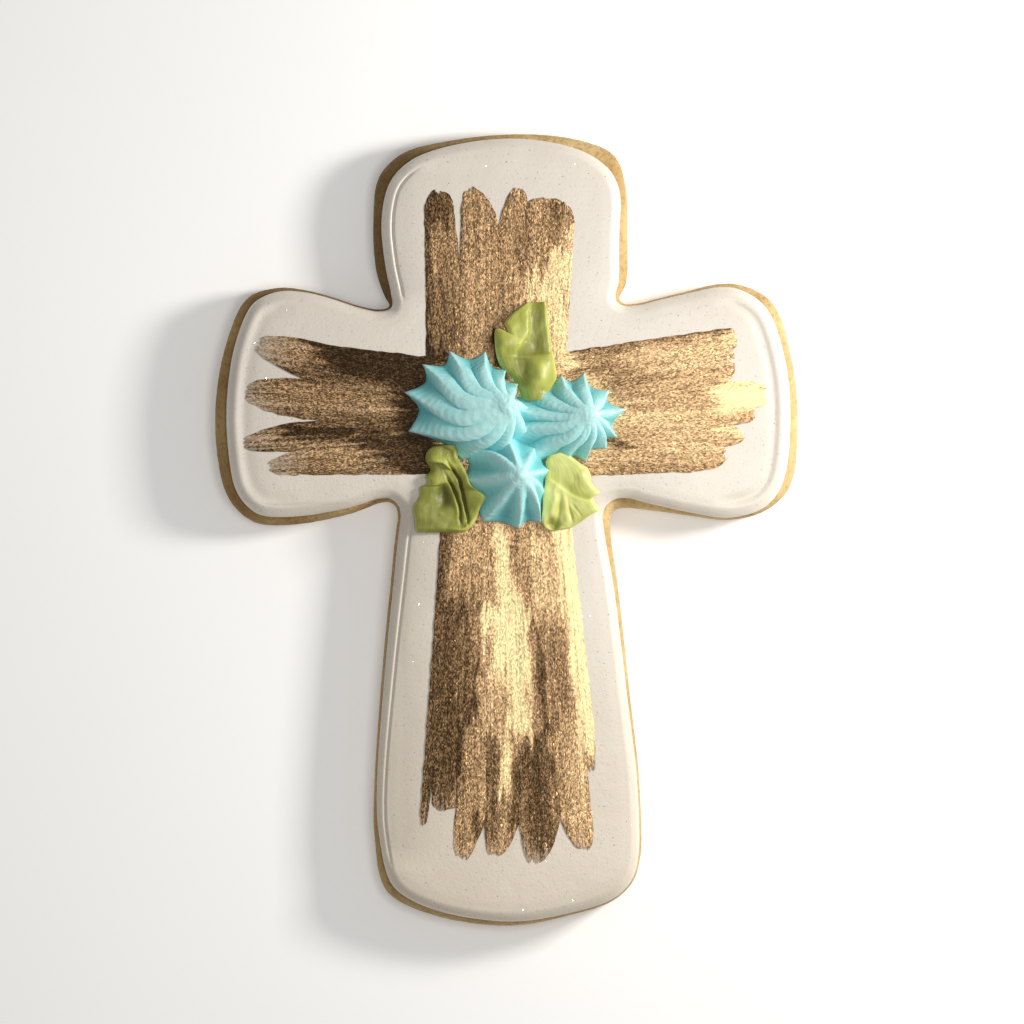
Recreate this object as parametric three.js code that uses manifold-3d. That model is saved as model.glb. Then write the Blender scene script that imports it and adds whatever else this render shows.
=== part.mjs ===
// A cross-shaped sugar cookie, lying on its baked underside with the iced face up.
//
// A rolled and cut cookie carries a flooded coat of white icing, which stops a little short of the
// cookie's edge. Gold lustre paint lies on the icing in brush strokes. Three flowers, pressed out of a
// star tip, and three ruffled leaves, out of a leaf tip, are piped where the strokes cross.
//
// Millimetres. X runs across the short arms, Y along the long arm, Z up. The origin is the middle of
// the cookie's outline, on its underside.
import * as THREE from "three";
import { mergeVertices } from "three/addons/utils/BufferGeometryUtils.js";
import Module from "manifold-3d";

const wasm = await Module();
wasm.setup();

// Driving dimensions
const CROSS_LENGTH = 114.3; // of a 4 1/2 inch cutter, end to end of the long arm
const COOKIE_THICKNESS = 6;
const ICING_THICKNESS = 2.2;
const PAINT_THICKNESS = 0.2;
const PRESS_GAP = 0.3; // left where one piped piece presses on another

const ICING_TOP = COOKIE_THICKNESS + ICING_THICKNESS;
const PAINT_TOP = ICING_TOP + PAINT_THICKNESS;

// The cookie's outline, anticlockwise, as knots of one closed curve. Each knot is x, y and the width of
// cookie left bare there between its edge and the icing.
const OUTLINE_KNOTS = [
  // right arm, from the lower inner corner round to the upper one
  [15.2, 2.4, 1.3], [16.4, 3.1, 1.5], [20.5, 2.8, 1.0], [26.5, 2.0, 0.5], [32.0, 1.4, 0.4],
  [37.3, 2.7, 0.6], [40.9, 6.2, 1.3], [42.05, 15.5, 1.2], [41.0, 25.5, 1.1], [38.2, 33.0, 1.3], [32.5, 35.6, 0.7],
  [24.0, 34.0, 0.4], [17.4, 32.6, 0.4],
  // top arm
  [16.3, 33.3, 0.6], [17.3, 35.6, 1.2], [17.5, 42.0, 1.3], [17.25, 49.3, 1.1], [15.6, 54.0, 2.1],
  [10.5, 56.3, 1.5], [1.0, 57.15, 0.8], [-9.5, 56.0, 1.0], [-15.2, 54.3, 1.7], [-18.5, 50.9, 1.9],
  [-19.3, 44.8, 1.3], [-18.9, 37.5, 1.5], [-17.7, 33.8, 1.1],
  // left arm
  [-17.0, 32.3, 0.5], [-19.0, 31.9, 0.4], [-27.8, 34.4, 0.4], [-33.0, 35.0, 0.7], [-37.4, 33.5, 1.3],
  [-40.1, 28.3, 1.4], [-41.9, 20.0, 1.7], [-41.9, 11.5, 1.8], [-40.2, 4.6, 1.6], [-36.5, 1.1, 1.4],
  [-31.0, 0.7, 1.2], [-22.5, 2.3, 0.9], [-17.2, 4.0, 0.6],
  // bottom arm
  [-15.9, 3.0, 0.5], [-16.2, -1.5, 0.5], [-18.0, -20.0, 0.5], [-19.2, -38.0, 0.5], [-19.1, -44.5, 0.8],
  [-17.5, -51.9, 1.3], [-11.9, -55.2, 1.0], [0.0, -57.15, 0.8], [9.2, -55.6, 0.5], [16.0, -53.1, 0.4],
  [18.9, -49.3, 0.4], [19.3, -38.0, 0.4], [17.9, -24.3, 0.5], [16.1, -8.0, 0.7], [15.0, 0.2, 1.0],
];
const POINTS_PER_KNOT = 3;

// The cookie's edge from the underside up: how far in from the outline, and how high. Above the side it
// rounds over to the flat that the icing floods, and there "bare" measures in widths of the bare edge.
const SIDE_RINGS = [
  { inset: 0.8, z: 0 },
  { inset: 0.2, z: 0.35 },
  { inset: 0, z: 1.2 },
  { inset: 0, z: 4.2 },
];
const EDGE_RINGS = [
  { bare: 0.25, z: 5.3 },
  { bare: 0.62, z: 5.8 },
  { bare: 1, z: COOKIE_THICKNESS },
];

// The icing's edge: how far in from where the bare cookie ends, and how high over the cookie
const ICING_RINGS = [
  { inset: 0.12, z: 0 },
  { inset: 0, z: 0.55 },
  { inset: 0.2, z: 1.35 },
  { inset: 0.75, z: 2.05 },
  { inset: 1.5, z: 2.3 },
  { inset: 2.8, z: ICING_THICKNESS },
];

// Brush strokes of gold paint: where one starts under the flowers, where it ends, its width at both,
// how long its end tapers, how blunt that is (1 is a straight-sided point, 2 a round end) and how far
// the point slants to the left, looking along the stroke.
const STROKES = [
  // up the top arm
  { from: [-7.6, 12.0], to: [-9.7, 49.2], width: [7.6, 4.2], taper: 3.2, blunt: 2.2, slant: 0 },
  { from: [-4.0, 12.0], to: [-4.3, 49.8], width: [7.4, 4.4], taper: 5.0, blunt: 1.6, slant: 0.7 },
  { from: [0.3, 12.0], to: [-1.4, 44.6], width: [6.6, 3.6], taper: 1.5, blunt: 1.6, slant: 0 },
  { from: [1.6, 12.0], to: [2.0, 49.6], width: [8.0, 3.6], taper: 4.5, blunt: 1.7, slant: 0 },
  { from: [4.4, 12.0], to: [6.0, 48.6], width: [6.6, 4.8], taper: 1.8, blunt: 2.4, slant: 0 },
  { from: [4.8, 12.0], to: [7.8, 47.6], width: [6.0, 4.0], taper: 3.4, blunt: 2.2, slant: 0 },
  // down the bottom arm
  { from: [-7.2, 12.0], to: [-11.9, -42.4], width: [2.8, 1.2], taper: 3.0, blunt: 2.0, slant: 0 },
  { from: [-6.9, 12.0], to: [-8.9, -40.2], width: [4.6, 3.9], taper: 1.6, blunt: 2.4, slant: 0 },
  { from: [-4.3, 12.0], to: [-5.0, -46.9], width: [5.2, 4.7], taper: 7.0, blunt: 1.5, slant: -1.4 },
  { from: [-0.8, 12.0], to: [-0.2, -46.6], width: [5.8, 5.4], taper: 6.7, blunt: 1.6, slant: -1.4 },
  { from: [3.1, 12.0], to: [5.1, -47.5], width: [5.8, 6.1], taper: 7.5, blunt: 1.6, slant: -0.7 },
  { from: [5.6, 12.0], to: [10.2, -45.7], width: [5.2, 4.7], taper: 5.8, blunt: 1.8, slant: 1.0 },
  { from: [6.2, 12.0], to: [12.3, -34.5], width: [3.6, 2.2], taper: 6.0, blunt: 1.4, slant: 0 },
  // out along the left arm
  { from: [0, 19.0], to: [-35.5, 25.5], width: [9.0, 5.7], taper: 9.0, blunt: 1.7, slant: -1.2 },
  { from: [0, 17.5], to: [-37.3, 19.2], width: [6.6, 5.8], taper: 8.4, blunt: 1.8, slant: -0.7 },
  { from: [0, 15.1], to: [-37.8, 13.0], width: [5.8, 4.2], taper: 8.0, blunt: 1.6, slant: 0.5 },
  { from: [0, 11.9], to: [-33.8, 9.4], width: [7.8, 3.5], taper: 4.0, blunt: 1.7, slant: 0.4 },
  // out along the right arm
  { from: [0, 20.9], to: [33.6, 28.3], width: [5.6, 3.4], taper: 1.4, blunt: 2.4, slant: 0 },
  { from: [0, 18.6], to: [32.5, 24.5], width: [6.0, 5.7], taper: 1.4, blunt: 2.2, slant: 0 },
  { from: [0, 16.8], to: [37.4, 19.5], width: [5.6, 4.5], taper: 4.6, blunt: 1.9, slant: 0 },
  { from: [0, 14.8], to: [35.6, 16.7], width: [5.6, 3.0], taper: 3.6, blunt: 1.8, slant: 0 },
  { from: [0, 12.8], to: [34.0, 13.6], width: [5.6, 3.2], taper: 3.0, blunt: 1.8, slant: 0 },
  { from: [0, 9.7], to: [31.4, 10.7], width: [4.7, 4.4], taper: 5.0, blunt: 2.0, slant: 0 },
];
const STROKE_STEPS = 5; // along a tapered tip

// Flowers pressed out of a star tip, each named by where it lies: the middle of its foot, the peak,
// the points of its ridges round the foot, anticlockwise, and how far the ridges turn on their way up.
// A later flower presses into the earlier ones.
const FLOWERS = [
  {
    name: "flower_right",
    foot: [9.2, 16.2],
    peak: [11.8, 16.6],
    height: 5.6,
    turn: 55,
    points: [
      [17.1, 17.4], [14.7, 20.1], [11.1, 22.7], [7.7, 22.4], [4.3, 21.1], [-0.4, 18.2], [0.1, 13.6],
      [3.7, 10.4], [8.2, 10.0], [11.1, 9.7], [13.2, 10.9], [16.0, 13.3],
    ],
  },
  {
    name: "flower_left",
    foot: [-6.3, 18.2],
    peak: [1.1, 18.8],
    height: 6.2,
    turn: 62,
    points: [
      [2.4, 18.1], [1.7, 21.1], [0.1, 23.3], [-3.5, 25.9], [-8.3, 25.8], [-12.1, 23.9], [-14.7, 19.8],
      [-14.1, 14.2], [-6.3, 10.0], [-2.0, 11.1], [0.9, 13.5],
    ],
  },
  {
    name: "flower_lower",
    foot: [0.9, 6.8],
    peak: [2.0, 8.1],
    height: 6.4,
    turn: 6,
    points: [
      [6.6, 8.7], [4.3, 12.0], [-0.1, 14.2], [-4.4, 11.4], [-5.3, 7.1], [-3.7, 1.2], [1.1, 0.1],
      [5.1, 1.2], [5.3, 4.6],
    ],
  },
];
const VALLEY_DEPTH = 0.26; // of a flower's radius, between two ridges
const RIDGE_STEPS = 6;
const FLOWER_RINGS = [0, 0.05, 0.14, 0.27, 0.42, 0.58, 0.74, 0.88, 1];
const PEAK_RADIUS = 0.35;

// Leaves from a leaf tip. The left and right rims run from the base to the tip, with how high each
// point of the rim is lifted. "swell" and "rim" are the thickness at the base and at the rims, and
// "folds" counts the folds that run out from the base.
const LEAVES = [
  {
    name: "leaf_top",
    left: [
      [2.2, 19.5, 0.2], [0.1, 22.3, 0.3], [-1.4, 24.9, 0.6], [-1.7, 27.3, 0.8], [-0.5, 28.9, 0.5],
      [-0.2, 30.4, 0.7], [1.2, 31.7, 0.4], [3.3, 32.8, 0.3],
    ],
    right: [
      [6.3, 19.8, 0.2], [6.9, 21.7, 0.3], [7.2, 23.6, 0.4], [6.9, 25.6, 0.4], [6.0, 28.4, 0.3],
      [5.9, 29.8, 0.3], [5.7, 31.3, 0.3], [5.6, 32.8, 0.3],
    ],
    swell: 3.4,
    rim: 1.2,
    folds: 1,
  },
  {
    name: "leaf_left",
    left: [
      [-8.3, 11.7, 0.6], [-6.3, 9.8, 1.0], [-5.1, 8.7, 2.0], [-3.8, 6.8, 2.3], [-2.8, 4.9, 2.2],
      [-3.7, 3.0, 1.5], [-4.3, 1.2, 0.5], [-5.6, -0.3, 0.2],
    ],
    right: [
      [-11.2, 11.6, 0.5], [-11.6, 10.1, 0.4], [-11.2, 8.8, 0.2], [-11.8, 7.1, 0.4], [-12.7, 5.6, 0.3],
      [-12.9, 3.8, 0.4], [-13.7, 2.3, 0.3], [-13.1, -0.1, 0.2],
    ],
    swell: 2.6,
    rim: 1.2,
    folds: 1.5,
  },
  {
    name: "leaf_right",
    left: [
      [6.6, 10.7, 0.8], [9.0, 10.4, 0.8], [11.1, 9.3, 0.5], [11.9, 7.7, 0.4], [12.5, 6.1, 0.4],
      [12.5, 4.5, 0.2], [13.4, 2.9, 0.3], [11.8, 1.6, 0.1],
    ],
    right: [
      [5.6, 9.8, 1.4], [6.0, 8.4, 1.5], [5.7, 6.7, 1.5], [5.0, 4.9, 1.3], [5.0, 3.2, 1.0], [5.6, 1.3, 0.6],
      [7.5, 0.0, 0.3], [9.8, 0.3, 0.1],
    ],
    swell: 2.8,
    rim: 1.2,
    folds: 2,
  },
];
const LEAF_STEPS_ALONG = 14;
const LEAF_STEPS_ACROSS = 10;
const FOLD_DEPTH = 0.35;
const RUFFLE_DEPTH = 0.25;

// Materials
const bakedDough = new THREE.MeshStandardMaterial({ color: "#d9b27a", roughness: 0.85 });
const whiteIcing = new THREE.MeshStandardMaterial({ color: "#efe8dc", roughness: 0.4 });
const goldPaint = new THREE.MeshStandardMaterial({ color: "#a07a4a", roughness: 0.4, metalness: 0.9 });
const blueIcing = new THREE.MeshStandardMaterial({ color: "#9fd3d6", roughness: 0.6 });
const greenIcing = new THREE.MeshStandardMaterial({ color: "#a9ae5c", roughness: 0.6 });

// A closed solid through rings of equal length. "flat" gives a point's place in the plane of the caps.
function loft(rings, flat) {
  const count = rings[0].length;
  const faces = [];
  for (let level = 0; level + 1 < rings.length; level++) {
    for (let i = 0; i < count; i++) {
      const next = (i + 1) % count;
      const [a, b] = [level * count + i, level * count + next];
      faces.push(a, b, b + count, a, b + count, a + count);
    }
  }
  const lastRing = (rings.length - 1) * count;
  for (const [a, b, c] of THREE.ShapeUtils.triangulateShape(rings[0].map(flat), [])) faces.push(c, b, a);
  for (const [a, b, c] of THREE.ShapeUtils.triangulateShape(rings.at(-1).map(flat), [])) {
    faces.push(lastRing + a, lastRing + b, lastRing + c);
  }
  const geometry = new THREE.BufferGeometry().setFromPoints(rings.flat());
  geometry.setIndex(faces);
  return geometry;
}

const fromAbove = (point) => new THREE.Vector2(point.x, point.y);

// Manifold solids, for cutting and joining
function toSolid(geometry) {
  const bare = new THREE.BufferGeometry().setAttribute("position", geometry.getAttribute("position"));
  if (geometry.index) bare.setIndex(geometry.index);
  const merged = mergeVertices(bare, 1e-4);
  return new wasm.Manifold(
    new wasm.Mesh({
      numProp: 3,
      vertProperties: new Float32Array(merged.attributes.position.array),
      triVerts: new Uint32Array(merged.index.array),
    }),
  );
}

function toGeometry(solid) {
  const { vertProperties, triVerts } = solid.getMesh();
  const geometry = new THREE.BufferGeometry();
  geometry.setAttribute("position", new THREE.BufferAttribute(vertProperties, 3));
  geometry.setIndex(new THREE.BufferAttribute(triVerts, 1));
  return geometry;
}

// Cutting can leave crumbs beside the main piece, which are dropped.
function largestPiece(solid) {
  return solid.decompose().sort((a, b) => b.volume() - a.volume())[0];
}

// The outline as points with an outward normal and the bare width, centred and at the driving length
function sampleOutline() {
  const knots = OUTLINE_KNOTS.map((knot) => new THREE.Vector3(...knot));
  const curve = new THREE.CatmullRomCurve3(knots, true, "centripetal");
  const steps = knots.length * POINTS_PER_KNOT;
  const samples = Array.from({ length: steps }, (_, i) => {
    const tangent = curve.getTangent(i / steps);
    return { point: curve.getPoint(i / steps), out: new THREE.Vector2(tangent.y, -tangent.x).normalize() };
  });
  const box = new THREE.Box3().setFromPoints(samples.map(({ point }) => point));
  const middle = box.getCenter(new THREE.Vector3());
  const scale = CROSS_LENGTH / (box.max.y - box.min.y);
  return samples.map(({ point, out }) => ({
    x: (point.x - middle.x) * scale,
    y: (point.y - middle.y) * scale,
    bare: point.z,
    out,
  }));
}

const outline = sampleOutline();

// The outline drawn in by a width, which may depend on the bare edge, at one height
function ring(insetAt, z) {
  return outline.map(({ x, y, bare, out }) => {
    const inset = insetAt(bare);
    return new THREE.Vector3(x - out.x * inset, y - out.y * inset, z);
  });
}

function cookieBase() {
  const side = SIDE_RINGS.map(({ inset, z }) => ring(() => inset, z));
  const edge = EDGE_RINGS.map(({ bare: share, z }) => ring((bare) => share * bare, z));
  return loft([...side, ...edge], fromAbove);
}

function icingCoat() {
  return loft(
    ICING_RINGS.map(({ inset, z }) => ring((bare) => bare + inset, COOKIE_THICKNESS + z)),
    fromAbove,
  );
}

// One stroke as seen from above: square at its hidden start, tapered at its end
function strokeShape({ from, to, width, taper, blunt, slant }) {
  const start = new THREE.Vector2(...from);
  const along = new THREE.Vector2(...to).sub(start);
  const length = along.length();
  along.normalize();
  const across = new THREE.Vector2(-along.y, along.x);
  const at = (distance, side) => {
    return start.clone().addScaledVector(along, distance).addScaledVector(across, side);
  };
  const left = [at(0, width[0] / 2)];
  const right = [at(0, -width[0] / 2)];
  for (let i = 0; i < STROKE_STEPS; i++) {
    const share = i / STROKE_STEPS;
    const half = (width[1] / 2) * (1 - share ** blunt) ** (1 / blunt);
    const distance = length - taper * (1 - share);
    left.push(at(distance, slant * share + half));
    right.push(at(distance, slant * share - half));
  }
  return new THREE.Shape([...left, at(length, slant), ...right.reverse()]);
}

function goldBrushwork() {
  const depth = PAINT_THICKNESS;
  const strokes = STROKES.map((stroke) => {
    const film = new THREE.ExtrudeGeometry(strokeShape(stroke), { depth, bevelEnabled: false });
    return toSolid(film.translate(0, 0, ICING_TOP));
  });
  return toGeometry(largestPiece(wasm.Manifold.union(strokes)));
}

// A flower's star-shaped rings turn and shrink on their way up to the leaning peak. "grow" swells it.
function flowerSolid({ foot, peak, height, turn, points }, grow = 0) {
  const ridges = points.map(([x, y]) => ({
    radius: Math.hypot(x - foot[0], y - foot[1]),
    angle: Math.atan2(y - foot[1], x - foot[0]),
  }));
  const meanRadius = ridges.reduce((sum, { radius }) => sum + radius, 0) / ridges.length;
  const rings = FLOWER_RINGS.map((level) => {
    const narrowing = 1 - level ** 1.25;
    const twist = (turn * level ** 1.3 * Math.PI) / 180;
    const stretch = { 0: -grow, 1: grow }[level] ?? 0;
    const z = PAINT_TOP + height * Math.sin((level * Math.PI) / 2) ** 0.9 + stretch;
    return ridges.flatMap((ridge, i) => {
      const next = ridges[(i + 1) % ridges.length];
      const spread = THREE.MathUtils.euclideanModulo(next.angle - ridge.angle, 2 * Math.PI);
      return Array.from({ length: RIDGE_STEPS }, (_, step) => {
        const share = step / RIDGE_STEPS;
        const valley = VALLEY_DEPTH * (1 - 0.35 * level) * Math.sin(Math.PI * share) ** 0.75;
        const uneven = THREE.MathUtils.lerp(ridge.radius, next.radius, share);
        const radius = THREE.MathUtils.lerp(uneven, meanRadius, level) * narrowing;
        const reach = (Math.max(radius, PEAK_RADIUS) + grow) * (1 - valley);
        const angle = ridge.angle + share * spread + twist;
        return new THREE.Vector3(
          THREE.MathUtils.lerp(peak[0], foot[0], narrowing) + reach * Math.cos(angle),
          THREE.MathUtils.lerp(peak[1], foot[1], narrowing) + reach * Math.sin(angle),
          z,
        );
      });
    });
  });
  return toSolid(loft(rings, fromAbove));
}

const rimCurve = (points) => new THREE.CatmullRomCurve3(points.map((point) => new THREE.Vector3(...point)));

// A leaf is a wavy strip: each cross-section runs along its top from left to right and back beneath.
function leafSolid({ left, right, swell, rim, folds }) {
  const [leftRim, rightRim] = [rimCurve(left), rimCurve(right)];
  const ends = [0, 1].map((u) => leftRim.getPoint(u).add(rightRim.getPoint(u)).multiplyScalar(0.5));
  const along = ends[1].clone().sub(ends[0]).setZ(0).normalize();
  const sections = Array.from({ length: LEAF_STEPS_ALONG + 1 }, (_, row) => {
    const u = row / LEAF_STEPS_ALONG;
    const top = [];
    const under = [];
    for (let column = 0; column <= LEAF_STEPS_ACROSS; column++) {
      const v = 1 - (2 * column) / LEAF_STEPS_ACROSS;
      const point = rightRim.getPoint(u).lerp(leftRim.getPoint(u), (v + 1) / 2);
      const lift = point.z * Math.abs(v) ** 2;
      const fold = -FOLD_DEPTH * Math.cos(2 * Math.PI * folds * v) * Math.sqrt(u);
      const ruffle = RUFFLE_DEPTH * Math.sin(2 * Math.PI * 3 * u + v) * Math.abs(v) ** 2;
      const body = rim + (swell - rim) * (1 - v * v) * (1 - u) ** 0.8;
      under.unshift(new THREE.Vector3(point.x, point.y, PAINT_TOP + lift));
      top.push(new THREE.Vector3(point.x, point.y, PAINT_TOP + lift + body + fold + ruffle));
    }
    return [...top, ...under];
  });
  const endOn = (point) => new THREE.Vector2(point.y * along.x - point.x * along.y, point.z);
  return toSolid(loft(sections, endOn));
}

// Each piped piece gives way to the flowers that press on it.
function pressedBy(solid, pressing) {
  const cutters = pressing.map((flower) => flowerSolid(flower, PRESS_GAP));
  return toGeometry(largestPiece(cutters.reduce((rest, cutter) => rest.subtract(cutter), solid)));
}

function piece(name, geometry, material) {
  const mesh = new THREE.Mesh(geometry, material);
  mesh.name = name;
  return mesh;
}

const cookie = new THREE.Group();
cookie.add(piece("cookie_base", cookieBase(), bakedDough));
cookie.add(piece("white_icing", icingCoat(), whiteIcing));
cookie.add(piece("gold_brushwork", goldBrushwork(), goldPaint));
FLOWERS.forEach((flower, i) => {
  cookie.add(piece(flower.name, pressedBy(flowerSolid(flower), FLOWERS.slice(i + 1)), blueIcing));
});
for (const leaf of LEAVES) cookie.add(piece(leaf.name, pressedBy(leafSolid(leaf), FLOWERS), greenIcing));

export default cookie;
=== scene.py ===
import math

import bpy
import numpy as np
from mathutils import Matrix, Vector, geometry, noise


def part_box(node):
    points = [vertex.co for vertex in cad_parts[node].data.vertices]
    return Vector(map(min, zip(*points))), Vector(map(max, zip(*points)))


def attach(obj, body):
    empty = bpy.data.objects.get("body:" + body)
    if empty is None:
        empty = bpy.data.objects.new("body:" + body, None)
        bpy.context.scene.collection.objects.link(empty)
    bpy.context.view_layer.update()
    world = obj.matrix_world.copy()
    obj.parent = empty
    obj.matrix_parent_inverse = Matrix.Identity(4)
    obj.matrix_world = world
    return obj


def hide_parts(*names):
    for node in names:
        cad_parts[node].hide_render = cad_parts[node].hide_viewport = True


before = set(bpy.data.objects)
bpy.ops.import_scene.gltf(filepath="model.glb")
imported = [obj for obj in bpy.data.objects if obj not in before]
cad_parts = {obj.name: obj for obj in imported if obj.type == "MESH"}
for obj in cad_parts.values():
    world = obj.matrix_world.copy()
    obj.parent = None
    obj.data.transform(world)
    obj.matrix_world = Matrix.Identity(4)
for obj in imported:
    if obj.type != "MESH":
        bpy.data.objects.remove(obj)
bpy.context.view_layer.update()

# ---- The baked cookie -----------------------------------------------------------------------
# Rolled sugar-cookie dough, cut with a cross cutter and baked pale on a flat sheet. Its side is
# upright and its top edge is soft. The dry crumb is painted darker at the left and near the top
# arm's left side: painted shade.
MM = 0.001
WHITE = (1, 1, 1)
CROSSING = (0.0, 17.0)  # where the arms cross; all of the outline can be seen from here
COOKIE_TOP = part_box("cookie_base")[1].z / MM
ICING_FOOT = COOKIE_TOP + 0.55  # the height at which the icing is widest
SIDE_HEIGHT = 4.2
SAME_HEIGHT = 0.01
TURN_STEPS = 4  # how many points on each side decide which way a loop runs
COOKIE_STEPS = 1300
# how far in from the outline, and how high
COOKIE_SIDE = [(3.0, 0), (1.2, 0), (0.55, 0.03), (0.22, 0.16), (0.05, 0.45), (0, 0.9), (0, 1.6),
               (0, 2.3), (0, 3.0), (0, 3.6)]
# the same above the side, where the width of the bare edge is 1
COOKIE_SHOULDER = [(0.02, 4.1), (0.07, 4.55), (0.17, 4.95), (0.33, 5.35), (0.55, 5.65),
                   (0.8, 5.88), (1.05, 5.98)]
UNDER_ICING = 1.2  # how far the cookie's top runs in below the icing before it is closed flat
# The crumb is painted darker at the left and round a spot at the top arm's left side: painted
# shade.
PAINTED_SHADE_LEFT = (-34, 4)  # from the brownest end of the cookie to where it is pale
PAINTED_SHADE_CORNER = (-18, 42, 0)
PAINTED_SHADE_ROUND = (10, 26)  # how far round that corner it is brownest, and where it is pale


def loop_at(node, height):
    """The corners of a CAD node at one height, in mm, in order round the cross."""
    corners = [v.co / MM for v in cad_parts[node].data.vertices]
    ring = {(round(p.x, 3), round(p.y, 3)) for p in corners if abs(p.z - height) < SAME_HEIGHT}
    around = sorted(ring, key=lambda p: math.atan2(p[1] - CROSSING[1], p[0] - CROSSING[0]))
    return np.array(around)


def even_loop(points, count):
    """A smooth closed curve through the points, as that many evenly spaced ones."""
    gaps = np.linalg.norm(np.roll(points, -1, 0) - points, axis=1)
    at = np.concatenate([[0], np.cumsum(gaps)])
    slope = (np.roll(points, -1, 0) - np.roll(points, 1, 0)) / (gaps + np.roll(gaps, 1))[:, None]
    wanted = np.linspace(0, at[-1], count, endpoint=False)
    here = np.searchsorted(at, wanted, side="right") - 1
    there = (here + 1) % len(points)
    gap = gaps[here][:, None]
    t = ((wanted - at[here]) / gaps[here])[:, None]
    return (
        (2 * t**3 - 3 * t**2 + 1) * points[here]
        + (t**3 - 2 * t**2 + t) * gap * slope[here]
        + (3 * t**2 - 2 * t**3) * points[there]
        + (t**3 - t**2) * gap * slope[there]
    )


def inward(loop):
    """The direction into the shape at each point of an anticlockwise loop."""
    along = np.roll(loop, -TURN_STEPS, 0) - np.roll(loop, TURN_STEPS, 0)
    along /= np.linalg.norm(along, axis=1)[:, None]
    return np.stack([-along[:, 1], along[:, 0]], axis=1)


def at_height(flat, z):
    """Points of the plane, in mm, at a height that is one number or one for each of them."""
    return np.column_stack([flat, np.broadcast_to(z, len(flat))])


def distance_to(loop, points):
    """How far each point is from the nearest point of a loop, in mm."""
    return np.array([np.sqrt(((loop - p) ** 2).sum(1).min()) for p in points])


def make_piece(name, points=(), faces=()):
    """A smooth-shaded mesh object from points in mm, or an empty one to be filled by a tree."""
    mesh = bpy.data.meshes.new(name)
    mesh.from_pydata((np.asarray(points) * MM).tolist(), [], faces)
    mesh.shade_smooth()
    piece = bpy.data.objects.new(name, mesh)
    bpy.context.scene.collection.objects.link(piece)
    return piece


def wall(levels, count):
    """The faces between rings of that many points, lowest ring first, and the face below them."""
    sides = [
        (low + i, low + (i + 1) % count, low + count + (i + 1) % count, low + count + i)
        for low in range(0, (levels - 1) * count, count)
        for i in range(count)
    ]
    return sides, tuple(reversed(range(count)))


def closed_stack(levels, count):
    """The faces of a solid of rings: its wall, its underside and its top."""
    sides, underside = wall(levels, count)
    return [*sides, underside, tuple(range((levels - 1) * count, levels * count))]


def feed(socket, value):
    """Gives an input a value, or the output that feeds it."""
    if isinstance(value, bpy.types.NodeSocket):
        socket.id_data.links.new(value, socket)
    else:
        socket.default_value = value


def add_node(tree, kind, links=None, **settings):
    """A node of a tree. links says what each of its inputs is fed."""
    node = tree.nodes.new(kind)
    for setting, value in settings.items():
        setattr(node, setting, value)
    for socket, value in (links or {}).items():
        feed(node.inputs[socket], value)
    return node


def maths(kind, first, second, third=0.0):
    """The output of a Math node, in the tree that its first input comes from."""
    links = {0: first, 1: second, 2: third}
    return add_node(first.id_data, "ShaderNodeMath", links, operation=kind).outputs[0]


def vector_maths(kind, first, second=(0, 0, 0)):
    """The output of a Vector Math node. To scale, second is a number."""
    links = {0: first, "Scale" if kind == "SCALE" else 1: second}
    node = add_node(first.id_data, "ShaderNodeVectorMath", links, operation=kind)
    return node.outputs["Value" if kind == "DISTANCE" else "Vector"]


def split(vector):
    """The three numbers of a vector, called X, Y and Z."""
    return add_node(vector.id_data, "ShaderNodeSeparateXYZ", {0: vector}).outputs


def shape_tree(name, **sizes):
    """A Geometry Nodes tree with named inputs, each given as Name=kind, and what they hold."""
    tree = bpy.data.node_groups.new(name, "GeometryNodeTree")
    for label, kind in {"Geometry": "Geometry", **sizes}.items():
        socket = "NodeSocket" + kind
        tree.interface.new_socket(label.replace("_", " "), in_out="INPUT", socket_type=socket)
    tree.interface.new_socket("Geometry", in_out="OUTPUT", socket_type="NodeSocketGeometry")
    return tree, add_node(tree, "NodeGroupInput").outputs


def finish_tree(tree, shape, material):
    """Ends a tree: its instances are made real and its material is set."""
    real = add_node(tree, "GeometryNodeRealizeInstances", {"Geometry": shape})
    links = {"Geometry": real.outputs[0], "Material": material}
    painted = add_node(tree, "GeometryNodeSetMaterial", links)
    add_node(tree, "NodeGroupOutput", {"Geometry": painted.outputs[0]})


def shape_piece(piece, tree, **sizes):
    """Runs a tree on a piece with its named inputs, and leaves the piece with the plain mesh."""
    modifier = piece.modifiers.new(tree.name, "NODES")
    modifier.node_group = tree
    for socket in tree.interface.items_tree:
        label = socket.name.replace(" ", "_")
        if socket.in_out == "INPUT" and label in sizes:
            modifier[socket.identifier] = sizes[label]
    shaped = piece.evaluated_get(bpy.context.evaluated_depsgraph_get())
    mesh = bpy.data.meshes.new_from_object(shaped)
    piece.modifiers.remove(modifier)
    piece.data = mesh


def cover(material, **looks):
    """The material, with values set on its shader's own sockets and patterns linked to them."""
    for name, look in looks.items():
        shader = material.node_tree.nodes["Principled BSDF"]
        feed(shader.inputs[name.replace("_", " ")], look)
    return material


def new_material(name, **looks):
    """A material and its Object coordinates."""
    material = bpy.data.materials.new(name)
    material.use_nodes = True
    tree = cover(material, **looks).node_tree
    return material, add_node(tree, "ShaderNodeTexCoord").outputs["Object"]


def grain(place, scale, detail=2.0, roughness=0.5):
    """Noise that varies so many times in a metre, from about 0 to 1."""
    links = {"Vector": place, "Scale": scale, "Detail": detail, "Roughness": roughness}
    return add_node(place.id_data, "ShaderNodeTexNoise", links).outputs["Fac"]


def span(value, low, high):
    """From 0 at one place to 1 at another, both in mm."""
    links = {"Value": value, "From Min": low * MM, "From Max": high * MM}
    return add_node(value.id_data, "ShaderNodeMapRange", links).outputs[0]


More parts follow.
